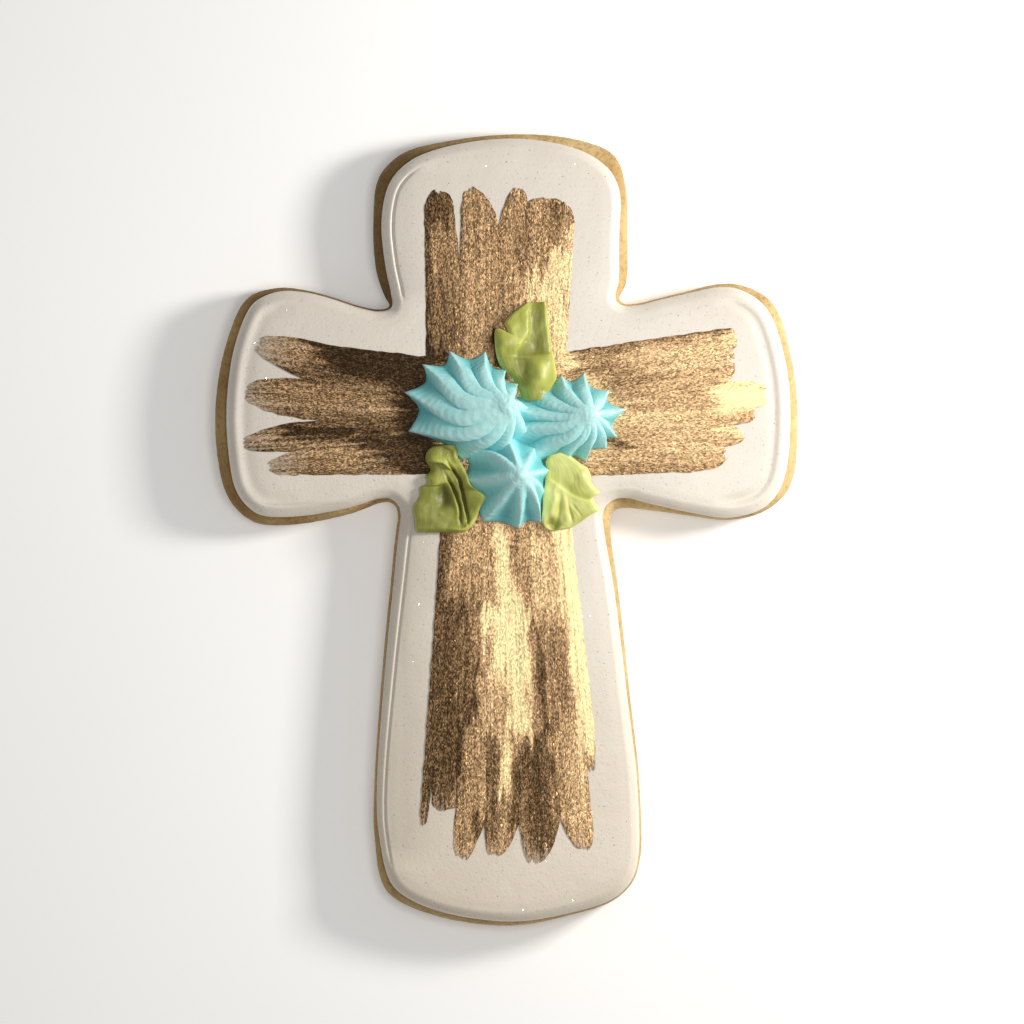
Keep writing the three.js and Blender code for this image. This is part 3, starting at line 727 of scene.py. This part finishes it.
# painted highlights, reflections and shadows, with thin and thick dust
for *line, width, brightness in DUST_AND_PAINTED_LIGHT:
    start, end = np.array(line).reshape(2, 2)
    tone = tone + (brightness - tone) * near_segment(patchy, start, end, width)
tone = tone - THIN_EDGE * edge
drier = np.where((x < -11) | (y < 0), DRIER, LESS_DRY)
dry = np.clip(1 - (lengths - brushed[:, 1]) / DRY_LENGTH, 0, 1) ** 2 * drier
dry = dry + 0.05 * edge + 0.24 * (x < -13) - 0.3 * (tone < BROWNEST)
laid = gold.data.attributes.new("laid", "FLOAT_VECTOR", "POINT")
laid.data.foreach_set("vector", np.column_stack([tone, dry, np.zeros(len(dry))]).ravel())
rounded = [face.normal.z > 0.3 and len(face.vertices) == 4 for face in gold.data.polygons]
gold.data.polygons.foreach_set("use_smooth", rounded)
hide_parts("gold_brushwork")
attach(gold, "root")

# ---- The blue flowers -----------------------------------------------------------------------
# Stiff buttercream pressed straight out of a star tip and pulled away with a twist, so each ridge
# runs from a sharp point at the foot up round the mound to a leaning, torn peak. The three touch.
PAINT_TOP = ICING_TOP + 0.2
FLOWER_FOOT = ICING_TOP - 0.05
FLOWER_LEVELS = 80
RIDGE_STEPS = 20
PEAK_FROM = 0.88  # the level from which the rings close over the peak
TORN_FROM = 0.75
FOOT_LEVELS = 0.05  # up to which level the foot is steep
FOOT_SHARE, DOME_SHARE, CONE_SHARE = 0.14, 0.5, 0.36  # what each adds to a flower's height
FOOT_STILL = 0.03  # up to which level the rings stay over the foot
RIDGE_WIDTH = 0.3  # of a thin ridge, where the way to the next one is 1
ROUGH, LUMP, CRUMB = 0.05, 1.1, 0.4  # how rough the buttercream is, in lumps of two sizes


def smooth_run(points, count):
    """A smooth open curve through the points, at even shares of them."""
    points = np.array(points)
    last = len(points) - 1
    padded = np.vstack([2 * points[0] - points[1], points, 2 * points[-1] - points[-2]])
    at = np.linspace(0, last, count)
    here = np.minimum(at.astype(int), last - 1)
    t = (at - here)[:, None]
    a, b, c, d = (padded[here + k] for k in range(4))
    curve = 2 * b + (c - a) * t + (2 * a - 5 * b + 4 * c - d) * t**2
    return 0.5 * (curve + (3 * b - a - 3 * c + d) * t**3)


def flower_rings(ridges, height, valley, groove, lobed, torn, tip):
    """A flower's rings from its foot to its peak, and each point's painted shade: darker between
    the ridges and low down, paler at the foot.

    valley and groove are how deep it is cut between its points and higher up. lobed is 1 for round
    lobes and 0 for thin ridges, torn is how rough its peak is, and tip is how far that stands out.
    """
    crests = np.array([smooth_run(ridge, FLOWER_LEVELS) for ridge in ridges])
    rise = PAINT_TOP - FLOWER_FOOT + height
    steps = np.arange(len(ridges) * RIDGE_STEPS) / RIDGE_STEPS
    share = steps % 1
    broad = np.sin(math.pi * share) ** 0.8
    from_groove = np.abs(2 * share**1.15 - 1)
    round_lobe = 1 - np.sqrt(from_groove * (2 - from_groove))
    thin_ridge = 1 - np.exp(-((share / RIDGE_WIDTH) ** 2))
    thin_ridge = thin_ridge - np.exp(-(((1 - share) / RIDGE_WIDTH) ** 2))
    rings, painted_shades = [], []
    for level in np.linspace(0, 1, FLOWER_LEVELS):
        climbed = min(max(level - FOOT_STILL, 0) / (PEAK_FROM - FOOT_STILL), 1)
        over = max(level - PEAK_FROM, 0) / (1 - PEAK_FROM)
        corners = crests[:, int(round(climbed * (FLOWER_LEVELS - 1)))]
        middle = corners.mean(0)
        reach = corners - middle
        radii = np.linalg.norm(reach, axis=1)
        angles = np.unwrap(np.arctan2(reach[:, 1], reach[:, 0]))
        radius = np.interp(steps, range(len(ridges) + 1), [*radii, radii[0]])
        angle = np.interp(steps, range(len(ridges) + 1), [*angles, angles[0] + 2 * math.pi])
        lobe = min(1, 2.4 * climbed)
        hollow = broad * (1 - lobe) + (lobed * round_lobe + (1 - lobed) * thin_ridge) * lobe
        depth = valley * (1 - lobe) + groove * lobe
        out = radius * (1 - depth * (1 - climbed**2) * hollow) * (1 - over) + 0.03
        ring = middle + np.stack([out * np.cos(angle), out * np.sin(angle)], axis=1)
        foot = FOOT_SHARE * min(level / FOOT_LEVELS, 1) ** 0.6
        climb = foot + DOME_SHARE * math.sin(climbed * math.pi / 2) + CONE_SHARE * climbed
        ring = at_height(ring, FLOWER_FOOT + rise * climb + tip * over * (2 - over))
        rough = ROUGH + torn * max(level - TORN_FROM, 0) / (1 - TORN_FROM)
        for spot in ring if level > 0 else []:
            spot += rough * np.array(noise.noise_vector(spot / LUMP))
            spot += 0.5 * rough * np.array(noise.noise_vector(spot / CRUMB))
        rings.append(ring)
        # painted shade: darker in the valleys and low down; painted highlight: paler just above the
        # foot
        shaded = 0.62 * hollow + 0.45 * broad * (1 - climbed) ** 1.5
        painted_shades.append(shaded * (1 - climbed**2) - 0.3 * max(1 - level / 0.07, 0))
    return np.concatenate(rings), np.concatenate(painted_shades)


def piped(name, points, rows, count, hollow, material):
    """A closed piece of icing from rows of points, with its painted shade, in place of its solid.
    """
    piece = make_piece("piped_" + name, points, closed_stack(rows, count))
    piece.data.materials.append(material)
    piece.data.attributes.new("hollow", "FLOAT", "POINT").data.foreach_set("value", hollow)
    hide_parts(name)
    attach(piece, "root")


def buttercream(name, crest, middle, deep, glow):
    """Soft matt buttercream, finely lined: painted highlight on crests and rims, painted shade in
    hollows.
    """
    material, place = new_material(name, Roughness=0.42, Subsurface_Weight=0.25,
                                   Subsurface_Radius=glow)
    # the hollow attribute is painted shade and painted highlight, ramped from crest to deep
    hollow = add_node(place.id_data, "ShaderNodeAttribute", attribute_name="hollow").outputs["Fac"]
    cloudy = maths("MULTIPLY_ADD", grain(place, 330), 0.4, -0.2)
    cream = ramp(maths("ADD", hollow, cloudy), (0, crest), (0.4, middle), (1, deep))
    creamy = bump(grain(place, 900, 3), 0.045)
    creamy = bump(grain(place, 3000), 0.02, creamy)
    return cover(material, Base_Color=cream, Normal=creamy)


def pipe_flower(name, ridges, **sizes):
    """A flower, from the line of each ridge's crest, from its point at the foot to the peak."""
    points, hollow = flower_rings(ridges, **sizes)
    piped(name, points, FLOWER_LEVELS, len(ridges) * RIDGE_STEPS, hollow, blue)


blue = buttercream("piped_blue", crest=(0.54, 0.89, 0.88), middle=(0.35, 0.82, 0.84),
                   deep=(0.14, 0.50, 0.53), glow=(0.0008, 0.0014, 0.0015))
pipe_flower("flower_right", [
    [(17.3, 17.4), (15.4, 16.9), (13.8, 16.8), (12.9, 16.6)],
    [(14.8, 20.1), (14.1, 18.7), (13.4, 17.7), (12.7, 17.2)],
    [(11.2, 22.7), (11.5, 20.5), (11.9, 18.8), (12.1, 17.5)],
    [(7.9, 22.3), (8.6, 20.3), (9.9, 18.5), (11.5, 17.4)],
    [(3.5, 20.5), (5.7, 18.7), (8.6, 17.5), (11.1, 17.1)],
    [(-2.2, 18.2), (3.1, 16.8), (7.7, 16.3), (10.8, 16.6)],
    [(-2, 13.2), (2.8, 14.5), (7.2, 14.8), (10.9, 16.2)],
    [(2.5, 9.4), (5.6, 11.7), (8.9, 13), (11.2, 15.6)],
    [(8.2, 9.5), (9.8, 11.6), (11.2, 13.3), (11.8, 15.3)],
    [(11.4, 9.7), (12.2, 11.9), (12.8, 13.9), (12.4, 15.5)],
    [(14.4, 11.7), (14.3, 13.5), (13.5, 14.9), (12.8, 15.8)],
    [(16, 13.3), (14.8, 14.6), (13.8, 15.8), (13.1, 16.2)],
], height=5, valley=0.2, groove=0.36, lobed=0.9, torn=0.04, tip=0.25)
pipe_flower("flower_left", [
    [(3.8, 17.4), (2.7, 17.7), (1.8, 18.1), (1.4, 18.2)],
    [(1.7, 21.1), (1.4, 20.3), (1.1, 19.5), (0.8, 19.1)],
    [(0.1, 23.3), (-0.4, 21.8), (-0.4, 20.4), (0.1, 19.2)],
    [(-3, 25.8), (-3, 23.4), (-2.2, 21.1), (-0.7, 19.2)],
    [(-8.2, 25.8), (-6.4, 23.1), (-4.6, 20.4), (-1.1, 18.8)],
    [(-12.1, 23.9), (-9.6, 21.7), (-6.9, 19.1), (-1.2, 18.2)],
    [(-14.7, 19.8), (-11.1, 17.8), (-6.9, 15.8), (-1.1, 17.4)],
    [(-14.1, 14.2), (-10.1, 13.6), (-5.3, 13.5), (-0.5, 16.8)],
    [(-6.3, 9.8), (-4.3, 11.3), (-1.8, 12.9), (0.2, 16.6)],
    [(-1.4, 9.7), (-0.2, 11.7), (0.8, 13.9), (0.9, 16.6)],
    [(3.3, 12.4), (2.8, 14.3), (2.1, 16.1), (1.5, 17.4)],
], height=5, valley=0.22, groove=0.36, lobed=0.9, torn=0.1, tip=0.3)
pipe_flower("flower_lower", [
    [(6.6, 8.7), (5.3, 8.4), (4, 8.1), (3, 8)],
    [(4.4, 12.4), (3.7, 10.9), (3.1, 9.5), (2.5, 8.7)],
    [(-0.1, 14.6), (0.5, 12.6), (1.2, 10.6), (1.8, 8.8)],
    [(-5.8, 11.4), (-2.4, 11.2), (-0.2, 10), (1.4, 8.5)],
    [(-6.4, 7.2), (-3.7, 7.2), (-1.1, 7.4), (1.2, 7.8)],
    [(-3.3, 1.2), (-1.4, 3.5), (0.1, 5.6), (1.5, 7.2)],
    [(1.8, 0.2), (2.1, 2.6), (2.1, 4.9), (2.1, 7.1)],
    [(5, 1), (4.8, 3), (4.1, 5.2), (2.7, 7.2)],
    [(5.7, 5.2), (5.1, 6.2), (4.3, 7.1), (3.1, 7.7)],
], height=5.8, valley=0.14, groove=0.4, lobed=0.15, torn=0.04, tip=0.3)

# ---- The green leaves -----------------------------------------------------------------------
# Buttercream from a leaf tip, tucked in beside the flowers: thick where each starts, then a broad
# ribbon with a frilled rim that folds over itself as the tip is shaken and drawn away.
LEAF_ROWS = 120
LEAF_COLUMNS = 90
LEAF_BODY = 0.85  # how thick a leaf is away from its swollen base
THINNEST = 0.22
FOLD_DRIFT, DRIFT_SIZE = 0.16, 1.4  # how far folds wander from their lines, and at what scale
UNEVEN, UNEVEN_SIZE, LINES = 0.1, 1.2, 0.025  # bumps, their size, and fine lines along the leaf


def fold_at(flat, path, widths, height):
    """How high a fold stands, or a crease is sunk, round a line of places. It fades at its ends."""
    path = np.array(path)
    starts, runs = path[:-1], np.diff(path, axis=0)
    lengths = np.linalg.norm(runs, axis=1)
    before = np.concatenate([[0], np.cumsum(lengths)])
    best, rise = np.full(len(flat), np.inf), np.zeros(len(flat))
    for start, run, length, done in zip(starts, runs / lengths[:, None], lengths, before):
        along = (flat - start) @ run
        off = (flat - start) @ np.array([-run[1], run[0]])
        past = along - np.clip(along, 0, length)
        share = (done + along) / before[-1]
        width = np.where(off > 0, *widths)
        here = height * np.exp(-((off / width) ** 2) - (np.abs(share - 0.5) / 0.56) ** 4)
        nearer = off**2 + past**2 < best
        rise[nearer] = here[nearer]
        best = np.minimum(best, off**2 + past**2)
    return rise


def leaf_points(swell, shade, left, right, folds):
    """A leaf's cross-sections from base to tip, each along its top and back, and its painted shade.
    """
    v = np.sin(np.linspace(0.5, -0.5, LEAF_COLUMNS) * math.pi)
    lefts, rights = smooth_run(left, LEAF_ROWS), smooth_run(right, LEAF_ROWS)
    rows, painted_shades = [], []
    for u, near, far in zip(np.linspace(0, 1, LEAF_ROWS), lefts, rights):
        place = far + (near - far) * ((v + 1) / 2)[:, None]
        flat, lift = place[:, :2], place[:, 2] * v**2
        drift = [noise.noise_vector((a / DRIFT_SIZE, b / DRIFT_SIZE, 4))[:2] for a, b in flat]
        warped = flat + FOLD_DRIFT * np.array(drift)
        relief = sum(fold_at(warped, *fold) for fold in folds)
        relief = relief + UNEVEN * swell_of(*flat.T, UNEVEN_SIZE, 4)
        relief = relief + np.array([LINES * noise.noise((a * 13, u * 3, swell)) for a in v])
        round_rim = (1 - np.abs(v) ** 9) ** 0.5
        body = (LEAF_BODY + (swell - LEAF_BODY) * (1 - v**2) * (1 - u) ** 0.8) * round_rim
        thick = np.maximum(body + relief * round_rim, THINNEST * round_rim + 0.03)
        thick = thick * min(1, 0.35 + 9 * (1 - u)) ** 0.5
        foot = ICING_TOP + lift
        rows.append(np.vstack([at_height(flat, foot + thick), at_height(flat, foot)[::-1]]))
        # painted shade: darker in creases and by the leaf's shade; painted highlight: paler on
        # raised folds and at the thin rim; the back gets a fixed value
        depth = shade - 0.55 * relief - 0.5 * np.abs(v) ** 14
        painted_shades.append(np.concatenate([np.clip(depth, 0, 1), np.full(LEAF_COLUMNS, 0.8)]))
    return np.concatenate(rows), np.concatenate(painted_shades)


def pipe_leaf(name, **shape):
    """A leaf. Its rims run from base to tip as (x, y, how far lifted). Each of its folds is a line
    of places, its width on the left and on the right of it, and how high it stands or is sunk."""
    points, hollow = leaf_points(**shape)
    piped(name, points, LEAF_ROWS, 2 * LEAF_COLUMNS, hollow, green)


green = buttercream("piped_green", crest=(0.78, 0.79, 0.31), middle=(0.50, 0.53, 0.105),
                    deep=(0.15, 0.15, 0.022), glow=(0.0012, 0.0014, 0.0004))
pipe_leaf("leaf_top", swell=2.3, shade=0.64, left=[
    (2.4, 18.5, 0.1), (1.7, 20.3, 0.1), (0.7, 22, 0.1), (-0.7, 23.3, 0.4), (-1.4, 24.9, 0.8),
    (-1.7, 26.8, 1), (-1.6, 28.8, 1.1), (-0.6, 28.8, 0.9), (0.2, 28.2, 0.7), (0, 29, 0.7),
    (-0.3, 29.8, 0.7), (0.8, 31.2, 0.6), (2.9, 32.7, 0.4),
], right=[
    (6.4, 18.8, 0.1), (6.5, 19.4, 0.1), (6.7, 20.1, 0.2), (6.95, 20.9, 0.2), (7.2, 21.7, 0.3),
    (7.2, 22.5, 0.3), (7.1, 23.3, 0.4), (6.9, 24.4, 0.4), (6.6, 25.9, 0.4), (6.4, 27.6, 0.3),
    (6.1, 29.6, 0.3), (5.9, 31.3, 0.3), (5.6, 32.8, 0.3),
], folds=[
    ([(3, 32.2), (3, 28.6), (2, 26.8), (1.1, 25.4)], (0.3, 1.5), 0.55),
    ([(0.7, 30.6), (0.4, 28), (-0.2, 25.4)], (1.6, 1.6), 0.4),
    ([(4.4, 32.2), (4.5, 29), (4.3, 25.6)], (1.1, 1), -0.3),
    ([(-0.2, 25.3), (3, 25.3), (6.6, 25.7)], (1.3, 0.3), -0.3),
    ([(5.1, 24.3), (5.1, 20.8)], (1.2, 1.1), 0.6),
    ([(2.5, 24.6), (2.4, 21)], (0.9, 1.2), -0.5),
])
pipe_leaf("leaf_left", swell=1.9, shade=0.72, left=[
    (-6.7, 12.2, 0.4), (-6.9, 11.3, 0.6), (-7, 10.3, 1), (-6.4, 9.5, 1.4), (-5.7, 8.1, 1.6),
    (-5, 6.4, 1.9), (-3.3, 5.2, 1.9), (-3, 4.5, 1.8), (-3.7, 3.3, 1.5), (-4.1, 2.3, 1.1),
    (-4.4, 1.4, 0.7), (-5.4, 0.1, 0.4), (-6.6, -0.4, 0.2),
], right=[
    (-9.6, 12.2, 0.6), (-10.8, 11.9, 0.7), (-11.5, 11.1, 0.6), (-11.6, 10, 0.5), (-10.9, 8.7, 0.3),
    (-11.6, 7.7, 0.5), (-11.4, 6.7, 0.3), (-12.4, 6.1, 0.4), (-12.5, 4.8, 0.4), (-13.4, 3.2, 0.4),
    (-13.2, 1.7, 0.3), (-13.1, 0.4, 0.2), (-12.9, -0.3, 0.1),
], folds=[
    ([(-7.9, 9), (-6.8, 7.4), (-6.2, 5), (-5.6, 1.7)], (0.2, 0.16), -1),
    ([(-8.3, 7.1), (-7.5, 5.5), (-6.8, 3.7), (-6.6, 1.6)], (0.2, 0.16), -1),
    ([(-7.6, 5.2), (-7.1, 3.4), (-6.9, 1.8)], (0.12, 0.5), 0.3),
    ([(-11, 10), (-9.2, 9.6), (-7.6, 8.6)], (1.1, 0.14), 0.7),
    ([(-12.2, 6.7), (-10.2, 6.5), (-8.5, 6.9)], (1.3, 0.16), 0.35),
    ([(-9.2, 6.2), (-9, 3.2)], (0.9, 0.8), -0.7),
    ([(-5.8, 5.5), (-4.2, 5.4), (-2.8, 4.7)], (0.2, 1.6), 0.6),
    ([(-8, 0.2), (-6, 0.2), (-4.6, 1.5)], (0.3, 0.6), 0.45),
    ([(-9.4, 12), (-8, 11.2), (-7.7, 9.8)], (0.3, 0.6), -0.25),
])
pipe_leaf("leaf_right", swell=1.9, shade=0.2, left=[
    (8.5, 11.3, 0.5), (9.6, 10.4, 0.7), (10.8, 9.5, 0.7), (11.6, 9, 0.6), (12.1, 8, 0.6),
    (12.2, 6.9, 0.5), (12.8, 6.1, 0.4), (13.4, 5.4, 0.4), (12.5, 4.5, 0.3), (13.1, 3.6, 0.3),
    (13.4, 2.9, 0.3), (12.1, 2.2, 0.2), (10.9, 1.3, 0.1),
], right=[
    (6, 10.7, 0.9), (5.6, 9.7, 1.1), (5.8, 8.7, 1.2), (5.6, 7.5, 1.3), (5.5, 6.5, 1.3),
    (5.3, 5.5, 1.2), (5.2, 4.3, 1.1), (5.2, 3.2, 1), (5.1, 2, 0.9), (5.1, 1, 0.7), (6, 0, 0.5),
    (7.5, 0, 0.3), (9.3, 0.3, 0.1),
], folds=[
    ([(6.4, 7.4), (8.4, 6), (10.2, 4.8), (12.6, 4.3)], (1, 0.2), -0.24),
    ([(7.2, 6.6), (6.9, 3.9), (6.4, 1.4)], (0.6, 0.5), 0.25),
    ([(7.8, 4.9), (7.6, 2.9), (7.3, 1)], (0.25, 0.25), -0.18),
    ([(8.1, 5.6), (8.5, 3.2), (8.8, 0.6)], (0.45, 0.5), 0.18),
    ([(8.8, 4.3), (9.5, 1.2)], (0.16, 0.16), -0.16),
    ([(9.5, 3.8), (10.7, 2)], (0.16, 0.16), -0.12),
    ([(5.8, 1.3), (7.2, 0.2)], (0.9, 0.9), -0.75),
    ([(10.8, 8.3), (11.5, 6.5)], (0.8, 0.9), 0.25),
])

# ---- The glitter ----------------------------------------------------------------------------
# Edible glitter dusted over the icing while it was tacky: tiny six-sided flakes that lie at all
# angles, so that a few flash and the rest read as grey specks.
FLAT_ENOUGH = 0.9  # flakes stay where the icing faces up at least this much
FLAKE_THICKNESS = 0.25  # as a share of a flake's radius
SMALLEST, LARGEST = 0.5, 1.3


def glitter_film():
    """Clear, coloured foil: each flake reflects a slightly different tint."""
    material, place = new_material("glitter_film", Roughness=0.16, Metallic=0.9)
    tints = (0.35, (0.75, 0.86, 0.95)), (0.5, (0.95, 0.92, 0.86)), (0.65, (0.93, 0.78, 0.9))
    return cover(material, Base_Color=ramp(grain(place, 400, 0), *tints))


tree, given = shape_tree("glitter", Icing="Object", Flake_Radius="Float",
                         Flakes_per_Square_Metre="Float", Tilt="Float", Seed="Int")
outward = split(add_node(tree, "GeometryNodeInputNormal").outputs[0])
dusted = add_node(tree, "GeometryNodeDistributePointsOnFaces", {
    "Mesh": shape_of("Icing"), "Selection": maths("GREATER_THAN", outward["Z"], FLAT_ENOUGH),
    "Density": given["Flakes per Square Metre"], "Seed": given["Seed"],
})
hexagon = add_node(tree, "GeometryNodeMeshCylinder", {
    "Vertices": 6, "Radius": given["Flake Radius"],
    "Depth": maths("MULTIPLY", given["Flake Radius"], FLAKE_THICKNESS),
})
spin = add_node(tree, "FunctionNodeRandomValue", {"Seed": given["Seed"]}, data_type="FLOAT_VECTOR")
spin = vector_maths("SUBTRACT", spin.outputs[0], (0.5, 0.5, 0.5))
links = {2: SMALLEST, 3: LARGEST, "Seed": given["Seed"]}
size = add_node(tree, "FunctionNodeRandomValue", links, data_type="FLOAT")
flakes = add_node(tree, "GeometryNodeInstanceOnPoints", {
    "Points": dusted.outputs["Points"], "Instance": hexagon.outputs["Mesh"],
    "Rotation": vector_maths("SCALE", spin, given["Tilt"]), "Scale": size.outputs[1],
})
finish_tree(tree, flakes.outputs[0], glitter_film())
glitter = make_piece("glitter")
shape_piece(glitter, tree, Icing=icing, Flake_Radius=0.085 * MM,
            Flakes_per_Square_Metre=160000.0, Tilt=1.3, Seed=5)
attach(glitter, "root")

# ---- The table, the lights and the camera ---------------------------------------------------
# A plain pale table under a soft lamp low on the right, with weak light from all round. The
# camera looks straight down on the iced face from high above, as the photograph was taken.
PHOTO_CENTRE = (0.8, 2.6)
PHOTO_WIDTH = 148.15
CAMERA_HEIGHT = 1300.0
TABLE_HALF = 900
LIT_PLACE = (0, 5, 8)  # where the lamps point
ROOM_LIGHT = 0.24


def soft_lamp(name, place, size, watts, colour):
    """A square soft box, with its place and size in mm, that shines at the cookie's middle."""
    light = bpy.data.lights.new(name, "AREA")
    light.size = size * MM
    light.energy = watts
    light.color = colour
    lamp = bpy.data.objects.new(name, light)
    bpy.context.scene.collection.objects.link(lamp)
    lamp.location = Vector(place) * MM
    away = lamp.location - Vector(LIT_PLACE) * MM
    lamp.rotation_euler = away.to_track_quat("Z", "Y").to_euler()


soft_lamp("lamp_right", (190, 62, 128), 50, 0.53, (1.0, 0.965, 0.92))
soft_lamp("lamp_above", (45, -5, 320), 85, 0.2, (1.0, 0.98, 0.95))
world = bpy.data.worlds.new("room")
world.use_nodes = True
room = world.node_tree.nodes["Background"].inputs
room["Color"].default_value = (1.0, 0.98, 0.96, 1)
room["Strength"].default_value = ROOM_LIGHT
bpy.context.scene.world = world
bpy.context.scene.view_settings.view_transform = "Standard"

corners = [(x * TABLE_HALF, y * TABLE_HALF, 0) for x, y in ((-1, -1), (1, -1), (1, 1), (-1, 1))]
table_top = make_piece("table_top", corners, [(0, 1, 2, 3)])
paint, place = new_material("pale_paint", Roughness=0.7, Emission_Strength=0.22,
                            Emission_Color=(1, 1, 1, 1))
chalk = ramp(grain(place, 12), (0.3, (0.93, 0.93, 0.925)), (0.7, (0.96, 0.96, 0.955)))
table_top.data.materials.append(cover(paint, Base_Color=chalk))

camera = bpy.data.cameras.new("camera")
camera.lens = camera.sensor_width * CAMERA_HEIGHT / PHOTO_WIDTH
camera.clip_end = 10
eye = bpy.data.objects.new("camera", camera)
bpy.context.scene.collection.objects.link(eye)
eye.location = Vector((*PHOTO_CENTRE, CAMERA_HEIGHT)) * MM
bpy.context.scene.camera = eye
